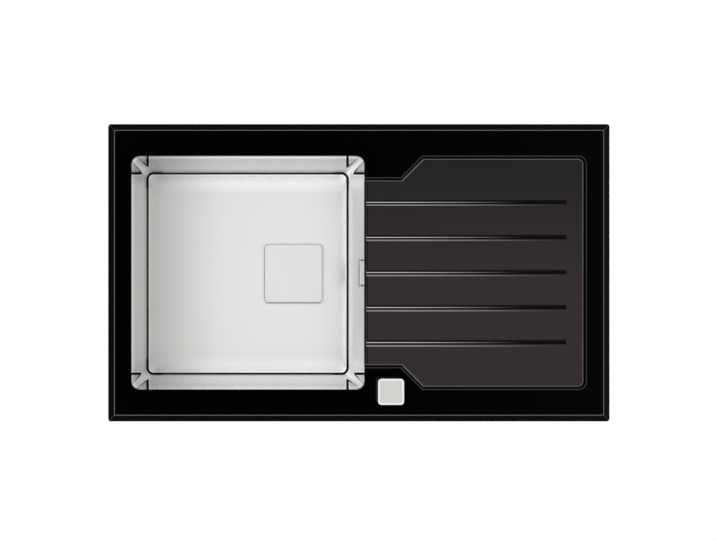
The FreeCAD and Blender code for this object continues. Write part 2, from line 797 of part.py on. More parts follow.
def make_rail_bonds(long_half, short_half):
    strips = []
    middle_x, middle_y = "places.clip_x", "places.clip_y"
    for name, x, y, half_x, half_y in (
        ("front", "0", f"-{middle_y}", long_half, "sizes.rail_width / 2"),
        ("rear", "0", f"1 * {middle_y}", long_half, "sizes.rail_width / 2"),
        ("left", f"-{middle_x}", "0", "sizes.rail_width / 2", short_half),
        ("right", f"1 * {middle_x}", "0", "sizes.rail_width / 2", short_half),
    ):
        strip = doc.addObject("Part::Box", "rail_bond_" + name)
        strip.setExpression("Length", f"2 * {half_x}")
        strip.setExpression("Width", f"2 * {half_y}")
        strip.setExpression("Height", "sizes.rail_bond_thick")
        set_place(strip, f"{x} - {half_x}", f"{y} - {half_y}", "places.rail_top")
        strips.append(strip)
    group("rail_bonds", strips)


def make_clips():
    """Screws with their nuts in the rails, and the claws that swing out under the worktop."""
    screws, nuts = [], []
    for rail, index, x, y, turn in clip_places:
        tag = f"{rail}_{index}"
        screws.append(make_clip_screw(tag, x, y))
        nuts.append(make_clip_nut(tag, x, y))
        make_claw(tag, x, y, turn)
    group("clip_screws", screws)
    group("clip_nuts", nuts)


def make_clip_screw(tag, x, y):
    body = doc.addObject("PartDesign::Body", "clip_screw_" + tag)
    tip = "places.rail_low + sizes.rail_thick + sizes.clip_nut_height + sizes.clip_depth"
    profile = [
        ("0", "0 - sizes.clip_head_height"),
        ("sizes.clip_head_radius", "0 - sizes.clip_head_height"),
        ("sizes.clip_head_radius", "0"),
        ("sizes.clip_screw_radius", "0"),
        ("sizes.clip_screw_radius", tip),
        ("0", tip),
    ]
    add_turned(body, profile)
    set_place(body, x, y, "0 - sizes.clip_depth")
    return body


def make_clip_nut(tag, x, y):
    nut = doc.addObject("PartDesign::Body", "clip_nut_" + tag)
    hexagon = [
        (f"sizes.clip_nut_radius * cos({60 * i})", f"sizes.clip_nut_radius * sin({60 * i})") for i in range(6)
    ]
    bore = ("0", "0", "sizes.clip_screw_radius + sizes.running_clearance")
    add_prism(nut, [hexagon, bore], "0", "sizes.clip_nut_height")
    set_place(nut, x, y, "places.rail_low + sizes.rail_thick")
    return nut


def make_claw(tag, x, y, turn):
    body = new_body("claw_" + tag)
    tail, reach = "0 - sizes.claw_tail", "sizes.claw_reach"
    tooth = f"{reach} - sizes.claw_thick"
    profile = [
        (tail, "0"),
        (reach, "0"),
        (reach, "sizes.claw_tooth"),
        (tooth, "sizes.claw_tooth"),
        (tooth, "sizes.claw_thick"),
        (tail, "sizes.claw_thick"),
    ]
    half = "sizes.claw_width / 2"
    add_prism(body, [profile], f"-{half}", half, "XZ_Plane")
    hole = ("0", "0", "sizes.clip_screw_radius + sizes.clip_hole_clearance")
    cut_prism(body, [hole], "0", "sizes.claw_thick")
    tail_x = number(tail)

    def at_tail(edge):
        return is_upright(edge) and abs(edge.BoundBox.XMax - tail_x) < 0.01

    round_edges(body, "sizes.claw_width / 3", at_tail)
    body.Placement = Placement(Vector(), Rotation(Vector(0, 0, 1), turn))
    set_place(body, x, y, "0 - sizes.clip_depth")


# Waste, strainer and cover


def waste_body_at(label):
    """A body whose own origin is the centre of the drain recess's floor."""
    return new_body(label, x="places.drain_x", z="places.drain_z")


def make_waste():
    seal = waste_body_at("waste_top_seal")
    add_ring(seal, "sizes.waste_hole_radius", "sizes.cup_flange_radius", "0", "sizes.top_seal_thick")
    gasket = waste_body_at("waste_gasket")
    gasket_bore = "sizes.waste_hole_radius"
    low, high = "places.waste_top", "0 - sizes.sheet_thick"
    add_ring(gasket, gasket_bore, "sizes.waste_flange_radius", low, high)
    make_waste_cup()
    make_waste_body()
    make_waste_screws()
    make_stem_guide()


def screw_hole(radius):
    return ("sizes.waste_screw_circle", "0", radius)


def make_waste_cup():
    """The steel cup that the strainer sits in; its flange lies in the drain recess."""
    body = waste_body_at("waste_cup")
    bore = "sizes.cup_radius - sizes.cup_wall"
    profile = [
        ("sizes.seat_radius", "places.cup_low"),
        ("sizes.cup_radius", "places.cup_low"),
        ("sizes.cup_radius", "sizes.top_seal_thick"),
        ("sizes.cup_flange_radius", "sizes.top_seal_thick"),
        ("sizes.cup_flange_radius", "places.cup_top"),
        (bore, "places.cup_top"),
        (bore, "places.cup_low + sizes.cup_wall"),
        ("sizes.seat_radius", "places.cup_low + sizes.cup_wall"),
    ]
    add_turned(body, profile)
    radius = "sizes.waste_screw_radius + sizes.running_clearance"
    hole = cut_prism(body, [screw_hole(radius)], "places.cup_low", "places.cup_low + sizes.cup_wall")
    pattern_around(body, hole, "sizes.waste_screw_count")


def make_waste_body():
    """The moulded waste: flange, ledge for the cup, chamber, funnel, outlet and side bosses."""
    body = waste_body_at("waste_body")
    outside = "places.waste_bore + sizes.waste_wall"
    chamber_out = "sizes.chamber_radius + sizes.waste_wall"
    funnel = "sizes.waste_wall / 2"
    profile = [
        ("places.waste_bore", "places.waste_top"),
        ("sizes.waste_flange_radius", "places.waste_top"),
        ("sizes.waste_flange_radius", "places.waste_top - sizes.waste_flange_thick"),
        (outside, "places.waste_top - sizes.waste_flange_thick"),
        (outside, "places.ledge_low"),
        (chamber_out, "places.ledge_low"),
        (chamber_out, f"places.chamber_low - {funnel}"),
        ("sizes.outlet_radius", f"places.funnel_low - {funnel}"),
        ("sizes.outlet_radius", "places.outlet_low"),
        ("sizes.outlet_bore", "places.outlet_low"),
        ("sizes.outlet_bore", "places.funnel_low"),
        ("sizes.chamber_radius", "places.chamber_low"),
        ("sizes.chamber_radius", "places.ledge_low"),
        ("sizes.seat_radius", "places.ledge_low"),
        ("sizes.seat_radius", "places.cup_low"),
        ("places.waste_bore", "places.cup_low"),
    ]
    add_turned(body, profile)
    add_shaft_bosses(body)
    add_overflow_branch(body)
    radius = "sizes.waste_screw_radius + sizes.running_clearance"
    hole = cut_prism(body, [screw_hole(radius)], "places.ledge_low", "places.cup_low")
    pattern_around(body, hole, "sizes.waste_screw_count")


def add_shaft_bosses(body):
    """Bosses on the chamber's two sides that bear the lever shaft; the rear one is blind."""
    centre = ("sizes.lever_length", "places.shaft_z")
    inner = "sizes.chamber_radius / 2 + sizes.lever_hub_radius / 2"
    rear_end = "sizes.chamber_radius"
    boss, bore = "sizes.boss_radius", "sizes.shaft_radius + sizes.running_clearance"
    add_prism(body, [(*centre, boss)], inner, "places.boss_end", "XZ_Plane")
    add_prism(body, [(*centre, boss)], f"0 - {rear_end}", f"0 - ({inner})", "XZ_Plane")
    blind = f"{rear_end} - sizes.waste_wall"
    cut_prism(body, [(*centre, bore)], f"0 - ({blind})", "places.boss_end", "XZ_Plane")


def add_overflow_branch(body):
    """The side inlet for the overflow pipe."""
    start = "sizes.chamber_radius + sizes.waste_wall / 4"
    add_prism(body, [("0", "places.shaft_z", "places.socket_radius")], start, "places.branch_end", "YZ_Plane")
    bore = "sizes.pipe_radius + sizes.pipe_clearance"
    seat = "places.branch_end - sizes.pipe_socket_length + sizes.pipe_socket_wall"
    cut_prism(body, [("0", "places.shaft_z", bore)], seat, "places.branch_end", "YZ_Plane")
    way = "sizes.pipe_radius - sizes.pipe_wall"
    inner = "sizes.chamber_radius - sizes.waste_wall"
    cut_prism(body, [("0", "places.shaft_z", way)], inner, seat, "YZ_Plane")


def make_waste_screws():
    """Screws through the cup's floor into the ledge of the waste."""
    screws = []
    for i in range(int(number("sizes.waste_screw_count"))):
        screw = doc.addObject("PartDesign::Body", f"waste_screw_{i + 1}")
        head = "sizes.waste_screw_radius * 1.8"
        floor = "places.cup_low + sizes.cup_wall"
        profile = [
            ("0", "places.ledge_low"),
            ("sizes.waste_screw_radius", "places.ledge_low"),
            ("sizes.waste_screw_radius", floor),
            (head, floor),
            (head, f"{floor} + sizes.waste_screw_radius"),
            ("0", f"{floor} + sizes.waste_screw_radius"),
        ]
        add_turned(screw, profile)
        angle = f"360 / sizes.waste_screw_count * {i}"
        x = f"places.drain_x + sizes.waste_screw_circle * cos({angle})"
        set_place(screw, x, f"sizes.waste_screw_circle * sin({angle})", "places.drain_z")
        screws.append(screw)
    group("waste_screws", screws)


def make_stem_guide():
    """A spider under the ledge that keeps the lift stem upright."""
    body = waste_body_at("stem_guide")
    low = "places.ledge_low - sizes.waste_wall"
    outer = "(sizes.chamber_radius - sizes.running_clearance)"
    bore = "sizes.stem_radius + sizes.running_clearance"
    hub = "sizes.stem_radius + sizes.waste_wall"
    rim = f"{outer} - sizes.waste_wall"
    add_ring(body, rim, outer, low, "places.ledge_low")
    spoke_end = f"({outer} - sizes.waste_wall / 2)"
    spoke = box_corners(f"{spoke_end} - sizes.stem_radius", "sizes.waste_wall",
                        x=f"({spoke_end} + sizes.stem_radius) / 2")
    spoke_pad = add_prism(body, [spoke], low, "places.ledge_low")
    pattern_around(body, spoke_pad, "sizes.waste_screw_count")
    add_prism(body, [("0", "0", hub)], low, "places.ledge_low")
    cut_prism(body, [("0", "0", bore)], low, "places.ledge_low")


def make_strainer():
    """The strainer basket with its hub, sealing ring and lift stem."""
    body = waste_body_at("strainer_basket")
    floor, wall = "places.basket_low + sizes.basket_wall", "sizes.basket_wall"
    rim_in = "sizes.basket_radius - sizes.basket_rim"
    profile = [
        ("0", "places.hub_top"),
        ("sizes.basket_hub_radius", "places.hub_top"),
        ("sizes.basket_hub_radius", floor),
        (f"sizes.basket_floor_radius - {wall}", floor),
        (f"{rim_in} - {wall}", "0 - sizes.basket_top"),
        ("sizes.basket_radius", "0 - sizes.basket_top"),
        ("sizes.basket_radius", f"0 - sizes.basket_top - {wall}"),
        (rim_in, f"0 - sizes.basket_top - {wall}"),
        ("sizes.basket_floor_radius", "places.basket_low"),
        ("0", "places.basket_low"),
    ]
    add_turned(body, profile)
    hole = ("sizes.basket_hole_circle", "0", "sizes.basket_hole_radius")
    holes = cut_prism(body, [hole], "places.basket_low", floor)
    pattern_around(body, holes, "sizes.basket_hole_count")
    seal = waste_body_at("plug_seal")
    inner = "sizes.basket_floor_radius - sizes.plug_seal_width"
    low = "places.cup_low + sizes.cup_wall"
    add_ring(seal, inner, "sizes.basket_floor_radius", low, "places.basket_low")
    stem = waste_body_at("lift_stem")
    add_prism(stem, [("0", "0", "sizes.stem_radius")], "places.stem_low", "places.basket_low")
    round_edges(stem, "sizes.stem_tip", lies_at("places.stem_low"))


def make_cover():
    """The square cover that hides the strainer; a socket under it sits over the basket's hub."""
    body = waste_body_at("square_cover")
    top = "places.hub_top + sizes.cover_thick"
    plate = box_corners("sizes.cover_side", "sizes.cover_side", "sizes.cover_corner")
    add_prism(body, [plate], "places.hub_top", top)
    round_edges(body, "sizes.cover_edge", lies_at(top))
    inner = "sizes.basket_hub_radius + sizes.cover_gap"
    outer = f"{inner} + sizes.cover_socket_wall"
    add_ring(body, inner, outer, "places.hub_top - sizes.cover_socket_depth", "places.hub_top")


# Lifting gear


def make_lifting_gear():
    """The cross shaft with its finger under the stem and its arm on the cable; it leans back at rest."""
    shaft = waste_body_at("lift_shaft")
    front = "0 - places.arm_y + sizes.arm_width / 2"
    rear = "sizes.chamber_radius - sizes.waste_wall - sizes.running_clearance"
    centre = ("sizes.lever_length", "places.shaft_z", "sizes.shaft_radius")
    add_prism(shaft, [centre], f"0 - ({rear})", front, "XZ_Plane")
    for label, make in (("lift_finger", draw_finger), ("cable_arm", draw_arm)):
        body = new_body(label)
        make(body)
        body.Placement = Placement(Vector(), Rotation(Vector(0, -1, 0), number("places.lever_half")))
        body.setExpression("Placement.Rotation.Angle", "places.lever_half")
        x, z = "places.drain_x + sizes.lever_length", "places.drain_z + places.shaft_z"
        set_place(body, x, "0", z)
    make_cable_bracket()
    make_inner_wire()


def draw_finger(body):
    half = "sizes.finger_width / 2"
    add_prism(body, [("0", "0", "sizes.lever_hub_radius")], f"-{half}", half, "XZ_Plane")
    length = "sizes.lever_length + sizes.finger_height"
    bar = box_corners(length, "sizes.finger_height", x=f"0 - ({length}) / 2")
    add_prism(body, [bar], f"-{half}", half, "XZ_Plane")
    cut_prism(body, [("0", "0", "sizes.shaft_radius")], f"-{half}", half, "XZ_Plane")


def draw_arm(body):
    """The arm's end is forked, so that the wire passes through it and its nipple pulls on the back."""
    middle = "(0 - places.arm_y)"
    low, high = f"{middle} - sizes.arm_width / 2", f"{middle} + sizes.arm_width / 2"
    add_prism(body, [("0", "0", "sizes.lever_hub_radius")], low, high, "XZ_Plane")
    length = "sizes.arm_length + sizes.arm_thick"
    bar = box_corners("sizes.arm_thick", length, y=f"({length}) / 2")
    add_prism(body, [bar], low, high, "XZ_Plane")
    cut_prism(body, [("0", "0", "sizes.shaft_radius")], low, high, "XZ_Plane")
    slot = "(sizes.wire_radius + sizes.wire_gap)"
    slot_low = f"sizes.arm_length - {slot}"
    fork = [
        (f"places.arm_y - {slot}", slot_low),
        (f"places.arm_y + {slot}", slot_low),
        (f"places.arm_y + {slot}", length),
        (f"places.arm_y - {slot}", length),
    ]
    cut_prism(body, [fork], "0 - sizes.arm_thick", "sizes.arm_thick", "YZ_Plane")


def make_cable_bracket():
    """A bent plate on the front boss, whose lug stops the cable's sheath."""
    body = waste_body_at("cable_bracket")
    back, front = "(places.boss_end - sizes.stop_thick)", "places.boss_end"
    low, high = "places.shaft_z - 1.5 * sizes.boss_radius", "places.arm_tip_z + 2 * sizes.ferrule_radius"
    left = "sizes.lever_length - 1.5 * sizes.boss_radius"
    plate = [(left, low), ("places.stop_x", low), ("places.stop_x", high), (left, high)]
    boss = ("sizes.lever_length", "places.shaft_z", "sizes.boss_radius + sizes.running_clearance")
    add_prism(body, [plate, boss], back, front, "XZ_Plane")
    lug_end = "places.arm_y - 2 * sizes.ferrule_radius"
    lug = [
        ("places.stop_x - sizes.stop_thick", lug_end),
        ("places.stop_x", lug_end),
        ("places.stop_x", f"0 - {back}"),
        ("places.stop_x - sizes.stop_thick", f"0 - {back}"),
    ]
    add_prism(body, [lug], "places.arm_tip_z - 2 * sizes.ferrule_radius", high)
    hole = ("places.arm_y", "places.arm_tip_z", "sizes.wire_radius + sizes.wire_gap")
    cut_prism(body, [hole], "places.stop_x - 2 * sizes.stop_thick", "places.stop_x", "YZ_Plane")


def make_inner_wire():
    """The bare end of the cable's wire, with the nipple behind the arm; it slides into the ferrule."""
    body = new_body("inner_wire", y="places.arm_y", z="places.drain_z + places.arm_tip_z")
    nipple_end = "(sizes.arm_thick / 2 + sizes.wire_gap)"
    start = f"places.drain_x + places.arm_tip_x - {nipple_end} - sizes.nipple_radius"
    end = "places.drain_x + places.stop_x + sizes.stop_thick"
    add_prism(body, [("0", "0", "sizes.wire_radius")], start, end, "YZ_Plane")
    nipple = f"({start}) + sizes.nipple_radius"
    add_prism(body, [("0", "0", "sizes.nipple_radius")], start, nipple, "YZ_Plane")


# Overflow


def make_overflow():
    make_overflow_plate()
    gasket = new_body("overflow_gasket", z="places.overflow_z")
    width = "places.box_width + 2 * sizes.overflow_border"
    frame = box_corners(width, "places.gasket_height")
    window = box_corners("sizes.overflow_hole_width", "sizes.overflow_hole_height")
    add_prism(gasket, [frame, window], "places.wall_outside", "places.gasket_out", "YZ_Plane")
    make_overflow_body(frame)
    make_overflow_screw()
    make_overflow_pipe()


def plate_seat(height):
    """Where the plate meets the leaning end wall, at a height from the overflow's middle."""
    return f"places.wall_inside + sizes.bowl_draft * ({height}) / sizes.bowl_depth - sizes.running_clearance"


def make_overflow_plate():
    """The plate inside the bowl, stood off the wall on its two folded ends, with a lip over its top."""
    body = new_body("overflow_plate", z="places.overflow_z")
    face = "places.wall_inside - sizes.overflow_plate_proud"
    plate = box_corners("sizes.overflow_plate_width", "sizes.overflow_plate_height")
    add_prism(body, [plate], face, f"{face} + sizes.overflow_plate_thick", "YZ_Plane")
    top, low = "sizes.overflow_plate_height / 2", "0 - sizes.overflow_plate_height / 2"
    end = [(face, low), (plate_seat(low), low), (plate_seat(top), top), (face, top)]
    outer = "sizes.overflow_plate_width / 2"
    inner = f"{outer} - sizes.overflow_plate_thick"
    add_prism(body, [end], inner, outer, "XZ_Plane")
    add_prism(body, [end], f"0 - {outer}", f"0 - ({inner})", "XZ_Plane")
    lip = box_corners(
        "sizes.overflow_plate_width - 2 * sizes.overflow_lip_inset",
        "sizes.overflow_plate_thick",
        y="(sizes.overflow_plate_height - sizes.overflow_plate_thick) / 2",
    )
    add_prism(body, [lip], face, plate_seat(f"{top} - sizes.overflow_plate_thick"), "YZ_Plane")
    hole = ("0", "0", "sizes.overflow_screw_radius + sizes.running_clearance")
    cut_prism(body, [hole], face, f"{face} + sizes.overflow_plate_thick", "YZ_Plane")


def make_overflow_body(frame):
    """The box behind the wall, with a spigot for the pipe below and a boss for the plate's screw."""
    body = new_body("overflow_body", z="places.overflow_z")
    add_prism(body, [frame], "places.gasket_out", "places.gasket_out + sizes.overflow_wall", "YZ_Plane")
    box = box_corners("places.box_width", "places.box_height")
    add_prism(body, [box], "places.gasket_out", "places.box_back", "YZ_Plane")
    inside = box_corners("sizes.overflow_hole_width", "sizes.overflow_hole_height")
    cut_prism(body, [inside], "places.gasket_out", "places.box_back - sizes.overflow_wall", "YZ_Plane")
    boss = ("0", "0", "2 * sizes.overflow_screw_radius")
    add_prism(body, [boss], "places.gasket_out", "places.box_back - sizes.overflow_wall", "YZ_Plane")
    bore = ("0", "0", "sizes.overflow_screw_radius + sizes.running_clearance")
    cut_prism(body, [bore], "places.gasket_out", "places.box_back - sizes.overflow_wall", "YZ_Plane")
    low = "0 - places.box_height / 2"
    spigot = ("places.pipe_x", "0", "places.socket_radius")
    add_prism(body, [spigot], f"{low} - sizes.pipe_socket_length", low)
    way = ("places.pipe_x", "0", "sizes.pipe_radius - sizes.pipe_wall")
    cut_prism(body, [way], f"{low} - sizes.pipe_socket_wall", f"{low} + sizes.overflow_wall")
    seat = ("places.pipe_x", "0", "sizes.pipe_radius + sizes.pipe_clearance")
    cut_prism(body, [seat], f"{low} - sizes.pipe_socket_length", f"{low} - sizes.pipe_socket_wall")


def make_overflow_screw():
    body = new_body("overflow_screw", z="places.overflow_z")
    face = "places.wall_inside - sizes.overflow_plate_proud"
    end = "places.box_back - 2 * sizes.overflow_wall"
    add_prism(body, [("0", "0", "sizes.overflow_screw_radius")], face, end, "YZ_Plane")
    head = "2 * sizes.overflow_screw_radius"
    add_prism(body, [("0", "0", head)], f"{face} - sizes.overflow_screw_radius / 5", face, "YZ_Plane")


def make_overflow_pipe():
    """A bent pipe from the overflow to the waste's side inlet, held by a nut at each end."""
    body = new_body("overflow_pipe")
    top = "places.pipe_top - sizes.pipe_socket_wall"
    end = "places.drain_x + places.branch_end - sizes.pipe_socket_length + sizes.pipe_socket_wall"
    profile = new_sketch(body, "XY_Plane", top)
    draw_circle(profile, "places.pipe_x", "0", "sizes.pipe_radius")
    draw_circle(profile, "places.pipe_x", "0", "sizes.pipe_radius - sizes.pipe_wall")
    route = new_sketch(body, "XZ_Plane")
    turns = [("places.pipe_x", top), ("places.pipe_x", "places.pipe_low"), (end, "places.pipe_low")]
    draw_route(route, turns, "sizes.pipe_bend")
    pipe = body.newObject("PartDesign::AdditivePipe", "overflow_pipe_sweep")
    pipe.Profile = profile
    pipe.Spine = route
    make_pipe_nuts()


def draw_route(sketch, points, radius):
    """An open route of two straight runs and the arc between them."""
    start, corner, end = [Vector(number(x), number(y), 0) for x, y in points]
    first, second, arc, forward = corner_arc(start, corner, end, number(radius))
    run_in = sketch.addGeometry(Part.LineSegment(start, first), False)
    bend = sketch.addGeometry(arc, False)
    run_out = sketch.addGeometry(Part.LineSegment(second, end), False)
    near, far = (1, 2) if forward else (2, 1)
    sketch.addConstraint(Sketcher.Constraint("Tangent", run_in, 2, bend, near))
    sketch.addConstraint(Sketcher.Constraint("Tangent", bend, far, run_out, 1))
    sketch.addConstraint(Sketcher.Constraint("Vertical", run_in))
    sketch.addConstraint(Sketcher.Constraint("Horizontal", run_out))
    constrain(sketch, radius, "Radius", bend)
    for line, end_point, (x, y) in ((run_in, 1, points[0]), (run_out, 2, points[2])):
        constrain(sketch, x, "DistanceX", line, end_point)
        constrain(sketch, y, "DistanceY", line, end_point)


def make_pipe_nuts():
    """Ribbed slip nuts over the two sockets."""
    bore = "places.socket_radius + sizes.running_clearance"
    top = new_body("pipe_nut_top", x="places.pipe_x", z="places.pipe_top - sizes.pipe_socket_length")
    low = new_body("pipe_nut_low", x="places.drain_x + places.branch_end", z="places.pipe_low")
    neck = "sizes.pipe_radius + sizes.pipe_clearance"
    lip = "0 - sizes.pipe_socket_wall"
    add_ring(top, bore, "sizes.pipe_nut_radius", "0", "sizes.pipe_nut_length")
    add_ring(top, neck, "sizes.pipe_nut_radius", lip, "0")
    outer = ("0", "0", "sizes.pipe_nut_radius")
    add_prism(low, [outer, ("0", "0", bore)], "0 - sizes.pipe_nut_length", "0", "YZ_Plane")
    add_prism(low, [outer, ("0", "0", neck)], "0", "sizes.pipe_socket_wall", "YZ_Plane")


# Control knob


def knob_body_at(label):
    """A body whose own origin is the knob's axis, on the glass's top face."""
    return new_body(label, x="places.knob_x", y="places.knob_y", z="places.glass_top")


def make_knob():
    knob = knob_body_at("knob")
    top = "places.knob_low + sizes.knob_high"
    shoulder = f"{top} - sizes.knob_edge_drop"
    outline = box_corners("sizes.knob_side", "sizes.knob_side", "sizes.knob_corner")
    face_side = "sizes.knob_side - 2 * sizes.knob_edge"
    face = box_corners(face_side, face_side, "sizes.knob_corner / 2")
    add_prism(knob, [outline], "places.knob_low", shoulder)
    add_loft(knob, "AdditiveLoft", [(outline, shoulder), (face, top)])
    round_edges(knob, "sizes.knob_round", lies_at(shoulder))
    socket = ("0", "0", "sizes.spindle_radius")
    cut_prism(knob, [socket], "places.knob_low", "places.knob_low + sizes.spindle_grip")
    gasket = knob_body_at("knob_gasket")
    add_ring(gasket, "sizes.base_radius", "sizes.base_flange_radius", "0", "sizes.knob_gasket_thick")
    make_knob_base()
    make_knob_fixing()
    make_drum()


def make_knob_base():
    """The flanged sleeve through the glass, bored for the spindle."""
    body = knob_body_at("knob_base")
    bore = "sizes.spindle_radius + sizes.running_clearance"
    profile = [
        (bore, "places.base_low"),
        ("sizes.base_radius", "places.base_low"),
        ("sizes.base_radius", "sizes.knob_gasket_thick"),
        ("sizes.base_flange_radius", "sizes.knob_gasket_thick"),
        ("sizes.base_flange_radius", "places.base_top"),
        (bore, "places.base_top"),
    ]
    add_turned(body, profile)


def make_knob_fixing():
    """The washer and hexagon nut that clamp the sleeve to the glass from below."""
    washer = knob_body_at("knob_washer")
    low = "0 - sizes.glass_thick - sizes.knob_washer_thick"
    bore = "sizes.base_radius + sizes.running_clearance"
    add_ring(washer, bore, "sizes.knob_nut_radius - sizes.knob_washer_thick", low, "0 - sizes.glass_thick")
    nut = knob_body_at("knob_nut")
    hexagon = [
        (f"sizes.knob_nut_radius * cos({60 * i})", f"sizes.knob_nut_radius * sin({60 * i})") for i in range(6)
    ]
    add_prism(nut, [hexagon, ("0", "0", bore)], f"{low} - sizes.knob_nut_thick", low)


def make_drum():
    """The spindle with its cable drum, in a housing under the sleeve."""
    spindle = knob_body_at("knob_spindle")
    shoulder = "places.base_low - sizes.housing_wall"
    top = "places.knob_low + sizes.spindle_grip"
    profile = [
        ("0", "places.housing_low - sizes.housing_wall"),
        ("sizes.spindle_end_radius", "places.housing_low - sizes.housing_wall"),
        ("sizes.spindle_end_radius", shoulder),
        ("sizes.spindle_radius", shoulder),
        ("sizes.spindle_radius", top),
        ("0", top),
    ]
    add_turned(spindle, profile)
    drum = knob_body_at("cable_drum")
    low, high = "places.drum_z - sizes.drum_height / 2", "places.drum_z + sizes.drum_height / 2"
    waist = "sizes.sheath_radius / 2"
    profile = [
        ("sizes.spindle_end_radius", low),
        ("sizes.drum_radius", low),
        ("sizes.drum_radius", f"places.drum_z - {waist}"),
        ("sizes.drum_groove_radius", "places.drum_z"),
        ("sizes.drum_radius", f"places.drum_z + {waist}"),
        ("sizes.drum_radius", high),
        ("sizes.spindle_end_radius", high),
    ]
    add_turned(drum, profile)
    make_drum_housing()


def make_drum_housing():
    housing = knob_body_at("drum_housing")
    bore = "sizes.spindle_radius + sizes.running_clearance"
    inside = "(sizes.housing_radius - sizes.housing_wall)"
    profile = [
        (bore, "places.base_low"),
        ("sizes.housing_radius", "places.base_low"),
        ("sizes.housing_radius", "places.housing_low"),
        (inside, "places.housing_low"),
        (inside, "places.base_low - sizes.housing_wall"),
        (bore, "places.base_low - sizes.housing_wall"),
    ]
    add_turned(housing, profile)
    gland = ("0 - sizes.drum_groove_radius", "places.drum_z")
    end = "0 - sizes.housing_radius - sizes.gland_length"
    add_prism(housing, [(*gland, "sizes.gland_radius")], end, f"0 - {inside}", "XZ_Plane")
    seat = "sizes.sheath_radius + sizes.sheath_clearance"
    cut_prism(housing, [(*gland, seat)], end, f"{end} + sizes.sheath_seat", "XZ_Plane")
    way = "sizes.wire_radius + sizes.wire_gap"
    cut_prism(housing, [(*gland, way)], f"{end} + sizes.sheath_seat", f"0 - {inside} / 2", "XZ_Plane")
    lid = knob_body_at("housing_lid")
    lid_bore = "sizes.spindle_end_radius + sizes.running_clearance"
    low, high = "places.housing_low - sizes.housing_wall", "places.housing_low"
    add_ring(lid, lid_bore, "sizes.housing_radius", low, high)


# Bowden cable


def make_cable():
    """The sheath from the stop at the waste, up beside the bowl's end wall, to the gland under the knob."""
    start = Vector(
        number("places.drain_x + places.stop_x + sizes.ferrule_length"),
        number("places.arm_y"),
        number("places.drain_z + places.arm_tip_z"),
    )
    gland_end = "places.knob_y + sizes.housing_radius + sizes.gland_length"
    finish = Vector(
        number("places.knob_x - sizes.drum_groove_radius"),
        number(f"{gland_end} - sizes.sheath_seat"),
        number("places.glass_top + places.drum_z"),
    )
    rise = number("sizes.cable_rise")
    corner = start + Vector(rise, 0, 0)
    level = finish + Vector(0, number("sizes.cable_level_run"), 0)
    climb = level - corner
    saddle = corner + Vector(0.12 * climb.x, 0.33 * climb.y, 0.55 * climb.z)
    route = [
        start,
        corner,
        corner + Vector(0.1 * climb.x, 0.1 * climb.y, rise),
        saddle,
        corner + Vector(0.36 * climb.x, 0.62 * climb.y, 0.8 * climb.z),
        level,
        finish,
    ]
    bends = make_sheath(route)
    make_ferrule()
    make_saddle(bends[route.index(saddle) - 1], route[4] - route[2])


def make_sheath(route):
    """Straight runs joined by tangent arcs, each as large as its two runs allow."""
    edges, bends, at = [], [], route[0]
    for i in range(1, len(route) - 1):
        before, corner, after = route[i - 1], route[i], route[i + 1]
        towards, away = before - corner, after - corner
        setback = 0.45 * min(towards.Length, away.Length)
        half = towards.getAngle(away) / 2
        first = corner + towards.normalize() * setback
        second = corner + away.normalize() * setback
        radius = setback * math.tan(half)
        centre = corner + (towards + away).normalize() * (setback / math.cos(half))
        middle = centre + (corner - centre).normalize() * radius
        bends.append(middle)
        print(f"cable bend {i}: radius {radius:.1f} mm")
        edges.append(Part.LineSegment(at, first).toShape())
        edges.append(Part.Arc(first, middle, second).toShape())
        at = second
    edges.append(Part.LineSegment(at, route[-1]).toShape())
    path = Part.Wire(edges)
    radius = number("sizes.sheath_radius")
    section = Part.Wire(Part.makeCircle(radius, route[0], route[1] - route[0]))
    sheath = doc.addObject("Part::Feature", "bowden_cable")
    sheath.Label = "bowden_cable"
    sheath.Shape = path.makePipeShell([section], True, False)
    print(f"cable length {path.Length:.1f} mm, volume {sheath.Shape.Volume:.0f} mm3,"
          f" section times length {math.pi * radius ** 2 * path.Length:.0f} mm3")
    sub_parts.append(sheath)
    return bends


def make_ferrule():
    body = new_body("cable_ferrule", y="places.arm_y", z="places.drain_z + places.arm_tip_z")
    begin = "places.drain_x + places.stop_x"
    bore = ("0", "0", "sizes.wire_radius + sizes.wire_gap")
    end = f"{begin} + sizes.ferrule_length"
    add_prism(body, [("0", "0", "sizes.ferrule_radius"), bore], begin, end, "YZ_Plane")


def make_saddle(middle, along):
    """A stick-on saddle that holds the sheath off the bowl's end wall."""
    size = number("sizes.saddle_size")
    depth = number("places.flange_top") - middle.z - size / 2
    lean = number("sizes.bowl_draft / sizes.bowl_depth") * depth
    wall = number("places.wall_end + sizes.pad_gap") - lean
    corner = Vector(wall, middle.y - size / 2, middle.z - size / 2)
    block = Part.makeBox(middle.x + size / 2 - wall, size, size, corner)
    radius = number("sizes.sheath_radius + sizes.saddle_clearance")
    along.normalize()
    hole = Part.makeCylinder(radius, 4 * size, middle - along * 2 * size, along)
    saddle = doc.addObject("Part::Feature", "cable_saddle")
    saddle.Label = "cable_saddle"
    saddle.Shape = block.cut(hole)
    sub_parts.append(saddle)


# Build, check and write


def build():
    make_glass_top()
    make_bowl()
    make_bowl_bond()
    make_worktop_seal()
    make_noise_pads()
    make_rails()
    make_clips()
    make_waste()
    make_strainer()
    make_cover()
    make_lifting_gear()
    make_overflow()
    make_knob()
    make_cable()
    doc.recompute()


def check():
    for item in doc.Objects:
        if "Invalid" in item.State or "Error" in item.State:
            raise RuntimeError(f"{item.Label} failed: {item.State}")
    for piece in sub_parts:
        if piece.Shape.isNull() or not piece.Shape.isValid() or not piece.Shape.Solids:
            raise RuntimeError(f"{piece.Label} has no valid solid")


